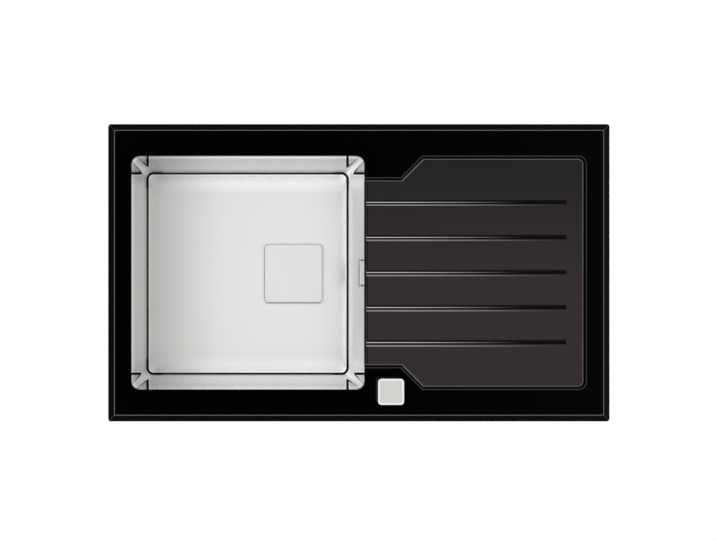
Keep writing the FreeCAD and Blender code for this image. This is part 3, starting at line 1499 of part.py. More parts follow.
def write():
    os.makedirs("parts", exist_ok=True)
    for piece in sub_parts:
        piece.Shape.exportStep(os.path.join("parts", piece.Label + ".step"))
        print(f"{piece.Label}: {len(piece.Shape.Solids)} solid(s), {piece.Shape.Volume / 1000:.2f} cm3")


build()
check()
write()
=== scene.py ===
import math

import bpy
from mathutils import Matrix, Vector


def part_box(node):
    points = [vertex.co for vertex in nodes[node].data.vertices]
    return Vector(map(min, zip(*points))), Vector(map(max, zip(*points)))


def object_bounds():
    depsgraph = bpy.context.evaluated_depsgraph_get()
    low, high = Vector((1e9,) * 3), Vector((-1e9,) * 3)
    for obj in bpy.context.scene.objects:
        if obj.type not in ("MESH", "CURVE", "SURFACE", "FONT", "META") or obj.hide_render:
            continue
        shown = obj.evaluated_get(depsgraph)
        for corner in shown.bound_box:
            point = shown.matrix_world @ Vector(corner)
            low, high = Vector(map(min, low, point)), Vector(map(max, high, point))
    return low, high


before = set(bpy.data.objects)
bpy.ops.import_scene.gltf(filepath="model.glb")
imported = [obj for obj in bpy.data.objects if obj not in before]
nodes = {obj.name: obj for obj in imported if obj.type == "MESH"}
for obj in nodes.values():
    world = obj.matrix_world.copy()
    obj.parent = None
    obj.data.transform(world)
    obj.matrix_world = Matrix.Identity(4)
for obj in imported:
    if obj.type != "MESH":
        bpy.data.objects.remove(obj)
cadLow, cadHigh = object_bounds()
print("frame loaded:", len(nodes), "nodes")


class Sock:  # one socket of a node tree, with arithmetic that adds Math nodes
    def __init__(self, web, socket):
        self.web = web
        self.socket = socket

    def maths(self, operation, *terms):
        return self.web.node("ShaderNodeMath", {"operation": operation}, dict(enumerate(terms)))

    def __add__(self, other):
        return self.maths("ADD", self, other)

    def __sub__(self, other):
        return self.maths("SUBTRACT", self, other)

    def __rsub__(self, other):
        return self.maths("SUBTRACT", other, self)

    def __mul__(self, other):
        return self.maths("MULTIPLY", self, other)

    def __truediv__(self, other):
        return self.maths("DIVIDE", self, other)

    def __rtruediv__(self, other):
        return self.maths("DIVIDE", other, self)

    def __pow__(self, other):
        return self.maths("POWER", self, other)

    def __rpow__(self, other):
        return self.maths("POWER", other, self)

    def __abs__(self):
        return self.maths("ABSOLUTE", self)

    __radd__ = __add__
    __rmul__ = __mul__

    def least(self, other):
        return self.maths("MINIMUM", self, other)

    def most(self, other):
        return self.maths("MAXIMUM", self, other)

    def sine(self):
        return self.maths("SINE", self)

    def ease(self, low, high, start=0.0, end=1.0):  # smooth step between two values
        ends = {"Value": self, "From Min": low, "From Max": high, "To Min": start, "To Max": end}
        return self.web.node("ShaderNodeMapRange", {"interpolation_type": "SMOOTHSTEP"}, ends)

    def stripe(self, middle, half, soft):  # 1 within half of a value, fading over soft
        return 1 - abs(self - middle).ease(half, half + soft)


class Web:  # a node tree, with one way to add a node
    def __init__(self, tree):
        self.tree = tree

    def join(self, value, target):
        if isinstance(value, Sock):
            self.tree.links.new(value.socket, target)
        else:
            target.default_value = value

    def node(self, kind, settings=None, inputs=None, output=0):  # any node, settings first, then sockets
        made = self.tree.nodes.new(kind)
        for name, value in (settings or {}).items():
            if name == "stops":
                self.setStops(made.color_ramp.elements, value)
            else:
                setattr(made, name, value)
        for name, value in (inputs or {}).items():
            self.join(value, made.inputs[name])
        return Sock(self, made.outputs[output])

    def setStops(self, elements, stops):
        while len(elements) < len(stops):
            elements.new(1.0)
        for element, (at, colour) in zip(elements, stops):
            element.position, element.color = at, colour

    def parts(self, vector):  # a vector's X, Y and Z
        made = self.node("ShaderNodeSeparateXYZ", inputs={0: vector}).socket.node
        return [Sock(self, socket) for socket in made.outputs]


mixSockets = {"RGBA": (6, 7, 2), "VECTOR": (4, 5, 1)}  # a Mix node's two inputs and output, by what it mixes


class Look(Web):  # one material with a Principled shader
    def __init__(self, name, constants=None):
        self.material = bpy.data.materials.new(name)
        self.material.use_nodes = True
        super().__init__(self.material.node_tree)
        self.tree.nodes.clear()
        self.shader = self.tree.nodes.new("ShaderNodeBsdfPrincipled")
        self.end = self.tree.nodes.new("ShaderNodeOutputMaterial")
        self.out = Sock(self, self.shader.outputs[0])
        self.join(self.out, self.end.inputs[0])
        self.feed(constants or {})
        self.place = self.node("ShaderNodeTexCoord", output="Object")
        self.x, self.y, self.z = self.parts(self.place)

    def feed(self, inputs):  # values or sockets into the shader
        for name, value in inputs.items():
            self.join(value, self.shader.inputs[name])

    def noise(self, scale, detail, stretch=(1, 1, 1)):  # 0 to 1, stretched along the axes
        place = self.node("ShaderNodeMapping", inputs={"Vector": self.place, "Scale": stretch})
        return self.node("ShaderNodeTexNoise", inputs={"Vector": place, "Scale": scale, "Detail": detail})

    def mix(self, kind, share, first, second):
        one, two, mixed = mixSockets[kind]
        return self.node("ShaderNodeMix", {"data_type": kind}, {0: share, one: first, two: second}, mixed)

    def shade(self, share, first, second):  # a colour between two
        return self.mix("RGBA", share, first, second)

    def bump(self, height, distance, strength, normal=None):
        inputs = {"Height": height, "Distance": distance, "Strength": strength}
        if normal:
            inputs["Normal"] = normal
        bumped = self.node("ShaderNodeBump", inputs=inputs)
        self.feed({"Normal": bumped})
        return bumped

    def blend(self, share, other):  # another shader over what is there, by share
        self.out = self.node("ShaderNodeMixShader", inputs={0: share, 1: self.out, 2: other})
        self.join(self.out, self.end.inputs[0])

    def wear(self, names):
        for name in names:
            slots = nodes[name].data.materials
            slots.clear()
            slots.append(self.material)


def grey(value):
    return (value, value, value, 1.0)


# glass top: polished black, ground bevel arris with a painted highlight, satin drainer with ground edges and
# grooves that carry painted highlights and painted shade, and painted shade towards the drainer's back
glassSet = {
    "polish": (0.0008, 0.0008, 0.0009, 1.0),
    "satin": (0.0275, 0.0202, 0.0202, 1.0),
    "satinBackShade": (0.0126, 0.0110, 0.0116, 1.0),
    "arris": (0.105, 0.105, 0.107, 1.0),
    "edgeOuter": (0.034, 0.034, 0.035, 1.0),
    "edgeInner": (0.100, 0.098, 0.098, 1.0),
    "edgeSlant": (0.175, 0.173, 0.173, 1.0),
    "grooveBedHighlight": grey(0.52),
    "grooveSideHighlight": grey(0.25),
    "ior": 1.5,
    "bevelX": 0.419, "bevelY": 0.244,
    "drainEnd": 0.3895, "drainHalf": 0.200, "neckHalf": 0.1628, "neckEnd": 0.0714, "corner": 0.014,
    "groovePitch": 0.060,
    # zones, as the ends of an ease
    "upward": (0.0, 0.3),
    "pastBowl": (0.0092, 0.0096),
    "bed": (-0.0059, -0.0053, 1, 0),
    "satinFrom": (0.0146, 0.0154),
    "slantFrom": (0.0724, 0.0764), "slantTo": (0.1074, 0.1134, 1, 0),
    "fieldFrom": (0.0124, 0.0130), "fieldTo": (0.355, 0.356, 1, 0), "fieldSide": (0.128, 0.129, 1, 0),
    "bedFade": (0.02, 0.29, 1, 0), "sideFade": (0.05, 0.36, 1, 0),
    "mitreFrom": (0.0, 0.0005),
    "backShade": (-0.03, 0.23),
    # lines, as the middle, half width and soft edge of a stripe
    "outerLine": (0.0, 0.0004, 0.0005), "innerLine": (-0.0055, 0.0004, 0.0006),
    "spillLine": (0.0128, 0.0004, 0.0005), "hollowLine": (0.0010, 0.0036, 0.0006),
    "bedLine": (0.0005, 0.0005, 0.0004), "sideLine": (-0.0047, 0.0008, 0.0006),
    "arrisLine": (0.0, 0.0004, 0.0006), "mitreLine": (0.0, 0.0003, 0.0006),
    "bedSpread": 0.003, "sideSpread": 0.007,  # a line's shift across its groove, per metre of y
    "spillShare": 0.5, "mitreShare": 0.5,
    # noise, as scale and detail
    "cloud": (9.0, 3), "cloudReach": 0.02,
    "smear": (3.0, 4), "smearRough": 0.02,
    "grain": (2600.0, 1), "grainDepth": 0.00002, "grainStrength": 0.5,
    "polishRough": 0.035, "frostRough": 0.38,
}


def drainerDepth(look, s):  # distance from the drainer's outline, negative inside it
    side = abs(look.y)
    endX = (look.x - (s["drainEnd"] - s["corner"])).most(0)
    endY = (side - (s["drainHalf"] - s["corner"])).most(0)
    rounded = (endX * endX + endY * endY) ** 0.5 - s["corner"]
    straight = (look.x - s["drainEnd"]).most(side - s["drainHalf"])
    slant = (side - look.x - (s["neckHalf"] - s["neckEnd"])) * math.sqrt(0.5)
    neck = slant.least(side - s["neckHalf"])
    return rounded.most(straight).most(neck)


def glassLook():
    s = glassSet
    look = Look("blackGlass", {"IOR": s["ior"]})
    x, y, side = look.x, look.y, abs(look.y)
    drain = drainerDepth(look, s)
    facing = look.node("ShaderNodeNewGeometry", output="Normal")
    top = look.parts(facing)[2].ease(*s["upward"])  # the underside is plain
    pastBowl = x.ease(*s["pastBowl"]) * top
    bed = drain.ease(*s["bed"]) * top
    satin = bed * x.ease(*s["satinFrom"])
    # painted highlights: a line round the drainer's outline, which is also ground, one along its inner edge,
    # lighter along the slant, and a fainter one on the spill step
    outer = drain.stripe(*s["outerLine"]) * pastBowl
    inner = drain.stripe(*s["innerLine"]) * pastBowl
    spill = x.stripe(*s["spillLine"]) * bed
    slant = x.ease(*s["slantFrom"]) * x.ease(*s["slantTo"])
    # grooves: place across the nearest one; painted shade, black, in each hollow, a painted highlight line on
    # the bed, which is also ground, and another on the front side
    turns = y / s["groovePitch"] + 0.5
    place = (turns.maths("FRACT", turns) - 0.5) * s["groovePitch"]
    field = side.ease(*s["fieldSide"]) * top * x.ease(*s["fieldFrom"]) * x.ease(*s["fieldTo"])
    hollow = place.stripe(*s["hollowLine"]) * field
    bedLine = (place - y * s["bedSpread"]).stripe(*s["bedLine"]) * field * x.ease(*s["bedFade"])
    sideLine = (place - y * s["sideSpread"]).stripe(*s["sideLine"]) * field * x.ease(*s["sideFade"])
    # ground arris round the flat face, and the mitres of the bevel, both lighter as a painted highlight
    pastX, pastY = abs(x) - s["bevelX"], side - s["bevelY"]
    past = pastX.most(pastY)
    arris = past.stripe(*s["arrisLine"]) * top
    mitre = (pastX - pastY).stripe(*s["mitreLine"]) * past.ease(*s["mitreFrom"]) * top
    cloud = look.noise(*s["cloud"])
    # painted shade: the satin darkens towards the back
    backShade = (y + cloud * s["cloudReach"]).ease(*s["backShade"])
    colour = look.shade(satin, s["polish"], look.shade(backShade, s["satin"], s["satinBackShade"]))
    colour = look.shade(hollow, colour, s["polish"])
    colour = look.shade(bedLine, colour, s["grooveBedHighlight"])
    colour = look.shade(sideLine, colour, s["grooveSideHighlight"])
    colour = look.shade(outer, colour, s["edgeOuter"])
    colour = look.shade(inner, colour, look.shade(slant, s["edgeInner"], s["edgeSlant"]))
    colour = look.shade(spill * s["spillShare"], colour, s["edgeInner"])
    colour = look.shade(arris.most(mitre * s["mitreShare"]), colour, s["arris"])
    frost = satin.most(arris).most(outer).most(bedLine)
    rough = s["polishRough"] + look.noise(*s["smear"]) * s["smearRough"] + frost * s["frostRough"]
    look.feed({"Base Color": colour, "Roughness": rough})
    look.bump(look.noise(*s["grain"]) * satin, s["grainDepth"], s["grainStrength"])
    look.wear(["glass_top"])


# bowl: polished walls mixed with a darker satin copy of the steel that dims them at a slant, as painted
# shade, brushed floor with painted highlights and painted shade, dull outside
bowlSet = {
    "tone": (0.742, 0.735, 0.722, 1.0), "dull": (0.692, 0.685, 0.674, 1.0),
    "endShade": (0.592, 0.591, 0.578, 1.0), "drainShade": (0.690, 0.685, 0.674, 1.0),
    "outside": (0.56, 0.56, 0.552, 1.0), "outsideDull": (0.44, 0.44, 0.436, 1.0),
    "rimHighlight": grey(0.80), "rightWallLit": grey(0.97), "highlight": grey(1.0), "hollow": grey(0.02),
    # painted shade: the darker satin copy's tint at a slant, and its share on each wall and at the foot
    "slantTint": grey(0.25), "leftDim": 0.305, "backDim": 0.45, "frontDim": 0.25, "footDim": 0.36,
    "wallRough": 0.10, "floorRough": 0.20, "satinRough": 0.48, "cornerRough": 0.03,
    "lineRough": 0.05, "cloudRough": 0.01, "outsideRough": 0.22,
    "floorZ": -0.190,
    # zones by the way that the surface faces, as the ends of an ease
    "inside": (-0.03, 0.03), "towards": (0.3, 0.8), "against": (-0.8, -0.3, 1, 0),
    # zones by the rise over the floor
    "floor": (0.0, 0.0004, 1, 0), "rim": (0.150, 0.178),
    "gleamFrom": (-0.00011, 0.0), "gleamTo": (0.0003, 0.0006, 1, 0), "gleamShare": 0.9,
    "backFoot": (0.014, 0.060, 1, 0), "leftFoot": (0.015, 0.060, 1, 0),
    "frontFoot": (0.010, 0.045, 1, 0), "frontFootShare": 0.9,
    "recess": (-0.0016, -0.0010, 1, 0), "recessShade": 0.1, "recessFrontShade": 0.25,
    "foldLine": (0.0023, 0.0018, 0.0005),
    "creaseFrom": (0.0008, 0.0016), "creaseTo": (0.003, 0.013, 1, 0), "creaseShare": 0.7,
    # zones by place along and across
    "farEnd": (-0.39, -0.21, 1, 0), "drainEnd": (-0.090, -0.012),
    "backShore": (0.150, 0.185), "frontShore": (-0.188, -0.155, 1, 0), "rightShore": (-0.011, -0.001),
    "frontShoreShare": 0.75, "rightShoreShare": 0.5, "endShoreLoss": 0.8,
    "recessFront": (-0.0565, -0.0555, 1, 0),
    "leftCorner": (-0.362, -0.346, 1, 0), "rightCorner": (-0.034, -0.018), "sideCorner": (0.156, 0.172),
    # noise, as scale, detail and stretch
    "lines": (260.0, 2, (0.05, 14, 1)), "lineShare": 0.2,
    "upright": (220.0, 2, (1, 1, 0.06)), "uprightShare": 0.2,
    "cloud": (5.0, 3), "cloudShare": 0.5,
    "lineDepth": 0.000012, "lineStrength": 0.35,
}


def bowlLook():
    s = bowlSet
    look = Look("bowlSteel", {"Metallic": 1.0})
    facing = look.node("ShaderNodeNewGeometry", output="Normal")
    alongX, alongY, upward = look.parts(facing)
    rise = look.z - s["floorZ"]
    floor = rise.ease(*s["floor"])
    inside = upward.ease(*s["inside"])
    wall = inside * (1 - floor)
    leftWall = alongX.ease(*s["towards"]) * wall
    rightWall = alongX.ease(*s["against"]) * wall
    frontWall = alongY.ease(*s["towards"]) * wall
    backWall = alongY.ease(*s["against"]) * wall
    lines = look.noise(*s["lines"])
    upright = look.noise(*s["upright"])
    cloud = look.noise(*s["cloud"])
    # painted shade: the floor is darker at its far end, and a little at the drain
    end = look.x.ease(*s["farEnd"])
    colour = look.shade(cloud * s["cloudShare"] + lines * s["lineShare"], s["tone"], s["dull"])
    colour = look.shade(end * floor, colour, s["endShade"])
    colour = look.shade(look.x.ease(*s["drainEnd"]) * floor, colour, s["drainShade"])
    # painted highlight: it brightens towards three of the walls, with a thin gleam along its edge
    shoreHighlight = look.y.ease(*s["backShore"]).most(look.y.ease(*s["frontShore"]) * s["frontShoreShare"])
    shoreHighlight = shoreHighlight.most(look.x.ease(*s["rightShore"]) * s["rightShoreShare"])
    shoreHighlight = shoreHighlight * (1 - end * s["endShoreLoss"]) * floor
    gleam = rise.ease(*s["gleamFrom"]) * rise.ease(*s["gleamTo"]) * inside * (1 - end) * s["gleamShare"]
    colour = look.shade(shoreHighlight.most(gleam), colour, s["highlight"])
    # painted light: the right wall is brighter than steel, and a painted highlight lightens the rim
    rim = rise.ease(*s["rim"])
    colour = look.shade(rightWall, colour, s["rightWallLit"])
    colour = look.shade(rim * inside * (1 - rightWall), colour, s["rimHighlight"])
    colour = look.shade(1 - inside, colour, look.shade(cloud, s["outside"], s["outsideDull"]))
    # painted shade: share of the darker satin copy, set for each wall, none on the right wall or at the rim,
    # deeper at the foot
    dim = (leftWall * s["leftDim"]).most(backWall * s["backDim"]).most(frontWall * s["frontDim"])
    foot = (backWall * rise.ease(*s["backFoot"])).most(leftWall * rise.ease(*s["leftFoot"]))
    foot = foot.most(frontWall * rise.ease(*s["frontFoot"]) * s["frontFootShare"])
    dim = (dim * (1 - rim) + foot * s["footDim"]) * (1 - rightWall)
    # painted shade: the recess round the cover lies in its shade, and the fold and crease at the foot of the
    # walls are dark
    recess = rise.ease(*s["recess"]) * inside
    recess = recess * (s["recessShade"] + look.y.ease(*s["recessFront"]) * s["recessFrontShade"])
    colour = look.shade(recess, colour, s["hollow"])
    fold = rise.stripe(*s["foldLine"]) * inside
    crease = rise.ease(*s["creaseFrom"]) * rise.ease(*s["creaseTo"]) * inside * s["creaseShare"]
    colour = look.shade(fold.most(crease), colour, s["hollow"])
    # the drawn corners keep a mirror polish
    corner = look.x.ease(*s["leftCorner"]).most(look.x.ease(*s["rightCorner"]))
    corner = corner * abs(look.y).ease(*s["sideCorner"]) * wall
    rough = s["wallRough"] + floor * (s["floorRough"] - s["wallRough"])
    rough = rough - corner * (s["wallRough"] - s["cornerRough"])
    rough = rough + (lines - 0.5) * s["lineRough"] * floor + cloud * s["cloudRough"]
    rough = rough + (1 - inside) * s["outsideRough"]
    look.feed({"Base Color": colour, "Roughness": rough})
    flat = look.node("ShaderNodeNewGeometry", output="True Normal")  # the floor is made of flat facets
    normal = look.mix("VECTOR", floor, facing, flat)
    height = lines * floor + upright * (1 - floor) * s["uprightShare"]
    normal = look.bump(height, s["lineDepth"], s["lineStrength"], normal)
    # the darker satin copy of the steel, mixed in as painted shade
    satin = look.node("ShaderNodeBsdfPrincipled", inputs={
        "Base Color": colour, "Metallic": 1.0, "Normal": normal, "Specular Tint": s["slantTint"],
        "Roughness": s["satinRough"] - corner * (s["satinRough"] - s["cornerRough"])})
    look.blend(dim.most(crease), satin)
    look.wear(["bowl"])


# pressings: waste cover and knob with polished edges coloured as painted shade and painted highlight,
# overflow plate with a lip and a painted shade line, plain fittings
pressSet = {
    "cover": {"tone": (0.745, 0.728, 0.720, 1.0), "dull": (0.675, 0.660, 0.652, 1.0), "rough": 0.24,
              "stretch": (0.05, 12, 1), "edgeDeep": 0.0001},
    "knob": {"tone": (0.610, 0.604, 0.591, 1.0), "dull": (0.548, 0.542, 0.530, 1.0), "rough": 0.28,
             "stretch": (12, 0.05, 1), "edgeDeep": 0.00012},
    "plate": {"tone": grey(0.88), "dull": (0.80, 0.80, 0.805, 1.0), "rough": 0.34, "stretch": (1, 0.1, 1)},
    "plain": {"tone": grey(0.69), "dull": (0.60, 0.60, 0.605, 1.0), "rough": 0.26, "stretch": (1, 1, 0.1)},
    "lines": (420.0, 2), "lineShare": 0.45, "lineRough": 0.10, "lineDepth": 0.00001, "lineStrength": 0.4,
    "cloud": (18.0, 2), "cloudShare": 0.3, "cloudRough": 0.03,
    # edges that fall away from the face, coloured as painted highlight and painted shade, with how far in or
    # down each zone starts and ends
    "edge": grey(0.76), "side": grey(0.20), "sideDown": (0.0030, 0.0016),
    "coverEdgeShade": grey(0.45), "drainEdgeShade": grey(0.24), "frontEdgeShade": grey(0.04), "edgeIn": (0.0014, 0.0020),
    "faceStart": 0.2, "edgePolish": 0.3,
    "face": grey(0.62), "faceRough": 0.20, "lipDown": (0.0004, 0.0002),
    "fold": grey(0.20), "foldIn": (0.0006, 0.0010), "foldDown": (0.0070, 0.0050),
}


def coverRim(look):  # painted shade round the edge, darker on its shaded sides
    s = pressSet
    near, far = s["edgeIn"]
    low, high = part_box("square_cover")
    rim = look.shade(look.x.ease(high.x - far, high.x - near), s["coverEdgeShade"], s["drainEdgeShade"])
    return look.shade(look.y.ease(low.y + near, low.y + far, 1, 0), rim, s["frontEdgeShade"])


def knobRim(look, top):  # painted shade on the sides under a painted highlight on the edge
    s = pressSet
    low, high = s["sideDown"]
    return look.shade(look.z.ease(top - low, top - high), s["side"], s["edge"])


def plateFinish(look, colour, rough):  # polished face, satin lip, and a line of painted shade along the fold between them
    s = pressSet
    low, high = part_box("overflow_plate")
    lip = look.z.ease(*[high.z - down for down in s["lipDown"]])
    fold = look.x.ease(*[low.x + inward for inward in s["foldIn"]], 1, 0)
    fold = fold * look.z.ease(*[high.z - down for down in s["foldDown"]])
    colour = look.shade(fold, look.shade(lip, s["face"], colour), s["fold"])
    return colour, s["faceRough"] + lip * (rough - s["faceRough"])


def pressLook(name, kind, wears, top=None):
    s, own = pressSet, pressSet[kind]
    look = Look(name, {"Metallic": 1.0})
    lines = look.noise(*s["lines"], own["stretch"])
    cloud = look.noise(*s["cloud"])
    colour = look.shade(lines * s["lineShare"] + cloud * s["cloudShare"], own["tone"], own["dull"])
    rough = own["rough"] + (lines - 0.5) * s["lineRough"] + cloud * s["cloudRough"]
    if top is not None:  # a polished edge below the face, coloured with painted shade on the cover and with a painted highlight over painted shade on the knob
        face = look.z.ease(top - own["edgeDeep"], top - own["edgeDeep"] * s["faceStart"])
        rim = coverRim(look) if kind == "cover" else knobRim(look, top)
        colour = look.shade(face, rim, colour)
        rough = rough * (s["edgePolish"] + face * (1 - s["edgePolish"]))
    if kind == "plate":
        colour, rough = plateFinish(look, colour, rough)
    look.feed({"Base Color": colour, "Roughness": rough})
    look.bump(lines, s["lineDepth"], s["lineStrength"])
    look.wear(wears)


# plated rails, claws, screws and linkage
zincSet = {
    "pale": (0.58, 0.59, 0.61, 1.0), "dark": (0.40, 0.41, 0.43, 1.0), "rough": 0.38,
    "spangle": (140.0, 3), "spangleShare": 0.6, "spangleHeight": 0.1,
    "bloom": (22.0, 2), "bloomShare": 0.4, "bloomRough": 0.2,
    "depth": 0.0001, "strength": 0.8,
    "threadFrom": (-0.044, -0.043), "threadTo": (-0.008, -0.007, 1, 0),
    "threadPitch": 0.0008, "threadHeight": 2.0,
}


def turned(look, pitch):  # turns of a thread
    return (look.z * (2 * math.pi / pitch)).sine()


def zincLook(name, wears, threaded=False):
    s = zincSet
    look = Look(name, {"Metallic": 1.0})
    spangle = look.noise(*s["spangle"])
    bloom = look.noise(*s["bloom"])
    colour = look.shade(spangle * s["spangleShare"] + bloom * s["bloomShare"], s["dark"], s["pale"])
    look.feed({"Base Color": colour, "Roughness": s["rough"] + (bloom - 0.5) * s["bloomRough"]})
    height = spangle * s["spangleHeight"]
    if threaded:
        length = look.z.ease(*s["threadFrom"]) * look.z.ease(*s["threadTo"])
        height = height + turned(look, s["threadPitch"]) * length * s["threadHeight"]
    look.bump(height, s["depth"], s["strength"])
    look.wear(wears)


# moulded, rubber and foam pieces: dark and pale tone, roughness
mouldSet = {
    "black": ((0.020, 0.020, 0.022, 1.0), (0.030, 0.030, 0.032, 1.0), 0.46),
    "pipe": ((0.42, 0.43, 0.44, 1.0), (0.50, 0.51, 0.52, 1.0), 0.34),
    "rubber": (grey(0.014), grey(0.026), 0.72),
    "foam": ((0.020, 0.020, 0.021, 1.0), (0.045, 0.045, 0.046, 1.0), 0.90),
    "damping": ((0.075, 0.075, 0.080, 1.0), (0.125, 0.125, 0.130, 1.0), 0.80),
    "sheath": ((0.012, 0.012, 0.013, 1.0), (0.022, 0.022, 0.023, 1.0), 0.30),
    "grainDetail": 3, "grainShare": 0.5, "grainRough": 0.16, "grainHeight": 0.4,
    "cloud": (14.0, 3), "cloudShare": 0.5,
    "strength": 0.7,
    "outletPitch": 0.0023, "outletZone": (-0.269, -0.268, 1, 0), "outletHeight": 2.0,
    "ribs": 24, "ribHeight": 4.0,
    "latticePitch": 0.014, "latticeHeight": 2.0,
}


def mouldLook(name, kind, wears, grainSize, depth, extra=None):
    s = mouldSet
    dark, pale, rough = s[kind]
    look = Look(name)
    grain = look.noise(grainSize, s["grainDetail"])
    cloud = look.noise(*s["cloud"])
    colour = look.shade(grain * s["grainShare"] + cloud * s["cloudShare"], dark, pale)
    look.feed({"Base Color": colour, "Roughness": rough + (grain - 0.5) * s["grainRough"]})
    height = grain * s["grainHeight"]
    if extra:
        height = height + extra(look)
    look.bump(height, depth, s["strength"])
    look.wear(wears)


def outletThread(look):  # thread on the waste's outlet
    s = mouldSet
    return turned(look, s["outletPitch"]) * look.z.ease(*s["outletZone"]) * s["outletHeight"]


def nutRibs(axis, centre):  # grip ribs round a slip nut, across the named axis
    def ribs(look):
        across = getattr(look, axis) - centre
        turn = across.maths("ARCTAN2", across, look.y)
        return (turn * mouldSet["ribs"]).sine() * mouldSet["ribHeight"]
    return ribs


def padLattice(look):  # pressed lattice of the damping sheet
    step = 2 * math.pi / mouldSet["latticePitch"]
    rising = ((look.x + look.y + look.z) * step).sine()
    falling = ((look.x - look.y + look.z) * step).sine()
    return rising.most(falling) * mouldSet["latticeHeight"]


def dress():
    glassLook()
    bowlLook()
    pressLook("coverSteel", "cover", ["square_cover"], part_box("square_cover")[1].z)
    pressLook("knobSteel", "knob", ["knob"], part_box("knob")[1].z)
    pressLook("plateSteel", "plate", ["overflow_plate", "overflow_screw"])
    pressLook("pressedSteel", "plain", ["waste_cup", "waste_screws", "knob_base", "knob_spindle",
                                        "strainer_basket", "lift_shaft", "lift_stem"])
    claws = [name for name in nodes if name.startswith("claw_")]
    zincLook("zincSheet", ["front_rail", "rear_rail", "left_rail", "right_rail", "cable_bracket",
                           "cable_arm", "inner_wire", "cable_ferrule", "clip_nuts"] + claws)
    zincLook("zincScrew", ["clip_screws"], threaded=True)
    mouldLook("wasteMoulding", "black", ["waste_body", "stem_guide", "lift_finger"],
              grainSize=900.0, depth=0.0003, extra=outletThread)
    mouldLook("blackMoulding", "black", ["overflow_body", "knob_washer", "knob_nut", "drum_housing",
                                         "housing_lid", "cable_saddle"], grainSize=900.0, depth=0.0001)
    topNut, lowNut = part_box("pipe_nut_top"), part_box("pipe_nut_low")
    topX = (topNut[0].x + topNut[1].x) / 2
    lowZ = (lowNut[0].z + lowNut[1].z) / 2
    mouldLook("topNutMoulding", "black", ["pipe_nut_top"],
              grainSize=900.0, depth=0.0004, extra=nutRibs("x", topX))
    mouldLook("lowNutMoulding", "black", ["pipe_nut_low"],
              grainSize=900.0, depth=0.0004, extra=nutRibs("z", lowZ))
    mouldLook("pipeMoulding", "pipe", ["overflow_pipe", "cable_drum"], grainSize=500.0, depth=0.00006)
    mouldLook("sealRubber", "rubber", ["waste_top_seal", "waste_gasket", "overflow_gasket", "knob_gasket",
                                       "plug_seal", "bowl_bond", "rail_bonds"], grainSize=700.0, depth=0.0001)
    mouldLook("foamStrip", "foam", ["worktop_seal"], grainSize=1400.0, depth=0.0004)
    mouldLook("dampingSheet", "damping", ["noise_pad_floor", "noise_pads_walls"],
              grainSize=300.0, depth=0.0003, extra=padLattice)
    mouldLook("cableSheath", "sheath", ["bowden_cable"], grainSize=600.0, depth=0.00004)
    print("finishes on", len(nodes), "nodes")


# studio: a soft box and a dimmer one overhead, panels on four sides, even fill, room, pale floor
studioSet = {
    "boxes": {  # place, size and level
        "softBox": ((0.50, 0.0, 2.0), (2.00, 2.8), 1.1),
        "dimBox": ((-1.05, 0.0, 2.0), (1.10, 2.8), 0.66),
    },
    "panelTurns": (0, 90, 180, 270), "panelLevel": 0.8, "panelSize": (6.0, 4.9),
    "panelAway": 3.0, "panelHigh": 2.15,
    "fillLevel": 2.7, "fillAngle": 120, "fillPlace": (0, 0, 3),
    # the room's tone by height, pale low down
    "room": [(0.0, grey(0.95)), (0.12, grey(0.95)), (0.32, grey(0.30)), (1.0, grey(0.0))],
    "floorHalf": 12.0, "floorTone": grey(0.93), "floorRough": 0.9, "floorGlow": 0.95,
}


def addObject(name, data):
    thing = bpy.data.objects.new(name, data)
    bpy.context.scene.collection.objects.link(thing)
    return thing


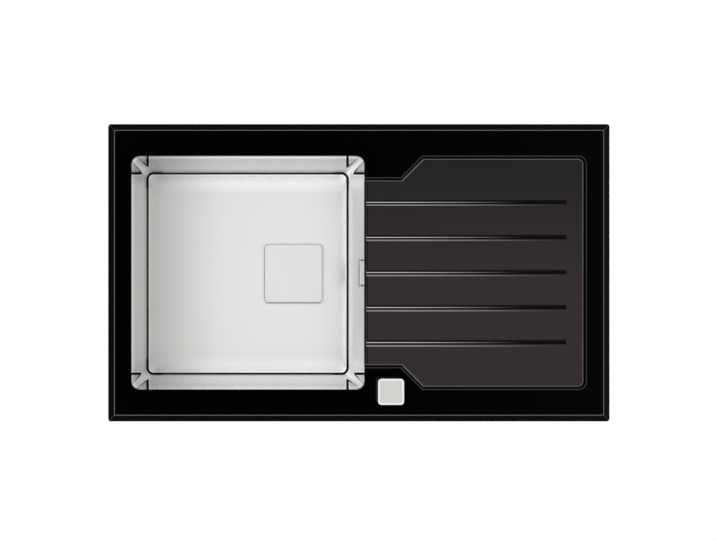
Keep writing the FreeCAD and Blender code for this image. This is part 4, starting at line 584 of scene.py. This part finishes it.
def studio():
    s = studioSet
    shaded = bpy.data.collections.new("shadedFromBoxes")  # the glass mirrors the room only
    shaded.objects.link(nodes["glass_top"])
    shaded.collection_objects[0].light_linking.link_state = "EXCLUDE"
    boxes = [(name, *box, (0, 0, 0)) for name, box in s["boxes"].items()]
    for turn in s["panelTurns"]:  # upright, for the steel to mirror
        angle = math.radians(turn)
        spot = (s["panelAway"] * math.sin(angle), -s["panelAway"] * math.cos(angle), s["panelHigh"])
        boxes.append((f"panel{turn}", spot, s["panelSize"], s["panelLevel"], (math.radians(90), 0, angle)))
    for name, spot, size, level, facing in boxes:
        lamp = bpy.data.lights.new(name, "AREA")
        lamp.shape = "RECTANGLE"
        lamp.size, lamp.size_y = size
        lamp.energy = level * math.pi * size[0] * size[1]
        box = addObject(name, lamp)
        box.location, box.rotation_euler = spot, facing
        box.visible_camera = False
        box.light_linking.receiver_collection = shaded
    sun = bpy.data.lights.new("evenFill", "SUN")
    sun.energy = s["fillLevel"]
    sun.angle = math.radians(s["fillAngle"])
    fill = addObject("evenFill", sun)
    fill.location = s["fillPlace"]
    fill.visible_glossy = False  # fills the matt surfaces only
    room = bpy.data.worlds.new("room")
    bpy.context.scene.world = room
    room.use_nodes = True
    web = Web(room.node_tree)
    height = web.parts(web.node("ShaderNodeTexCoord", output="Generated"))[2]
    tone = web.node("ShaderNodeValToRGB", {"stops": s["room"]}, {0: height})
    web.join(tone, web.tree.nodes["Background"].inputs["Color"])
    print("studio lit")


def paleFloor():
    s = studioSet
    low, half = cadLow.z, s["floorHalf"]
    corners = [(-half, -half, low), (half, -half, low), (half, half, low), (-half, half, low)]
    mesh = bpy.data.meshes.new("paleFloor")
    mesh.from_pydata(corners, [], [(0, 1, 2, 3)])
    floor = addObject("paleFloor", mesh)
    look = Look("paleFloor", {"Base Color": s["floorTone"], "Roughness": s["floorRough"]})
    path = look.node("ShaderNodeLightPath").socket.node
    rays = ("Is Camera Ray", "Is Glossy Ray", "Is Transmission Ray")
    seen, mirrored, through = [Sock(look, path.outputs[ray]) for ray in rays]
    glow = look.node("ShaderNodeEmission", inputs={"Color": grey(1.0), "Strength": 1.0})
    look.blend(seen.most(mirrored).most(through) * s["floorGlow"], glow)
    below = look.node("ShaderNodeNewGeometry", output="Backfacing")
    look.blend(below, look.node("ShaderNodeBsdfTransparent"))  # so that the sink's underside can be seen
    mesh.materials.append(look.material)
    print("floor laid")


# camera straight above the bowl, with the frame shifted over to the whole sink
cameraSet = {
    "place": (-0.1948, -0.0122, 1.5635),
    "lens": 45.62, "sensor": 36.0, "shiftX": 0.15742, "shiftY": 0.01381,
}


def aim():
    s = cameraSet
    data = bpy.data.cameras.new("viewer")
    data.sensor_width, data.lens = s["sensor"], s["lens"]
    data.shift_x, data.shift_y = s["shiftX"], s["shiftY"]
    viewer = addObject("viewer", data)
    viewer.location = s["place"]
    bpy.context.scene.camera = viewer
    bpy.context.scene.view_settings.view_transform = "Standard"
    print("camera set")


dress()
studio()
paleFloor()
aim()
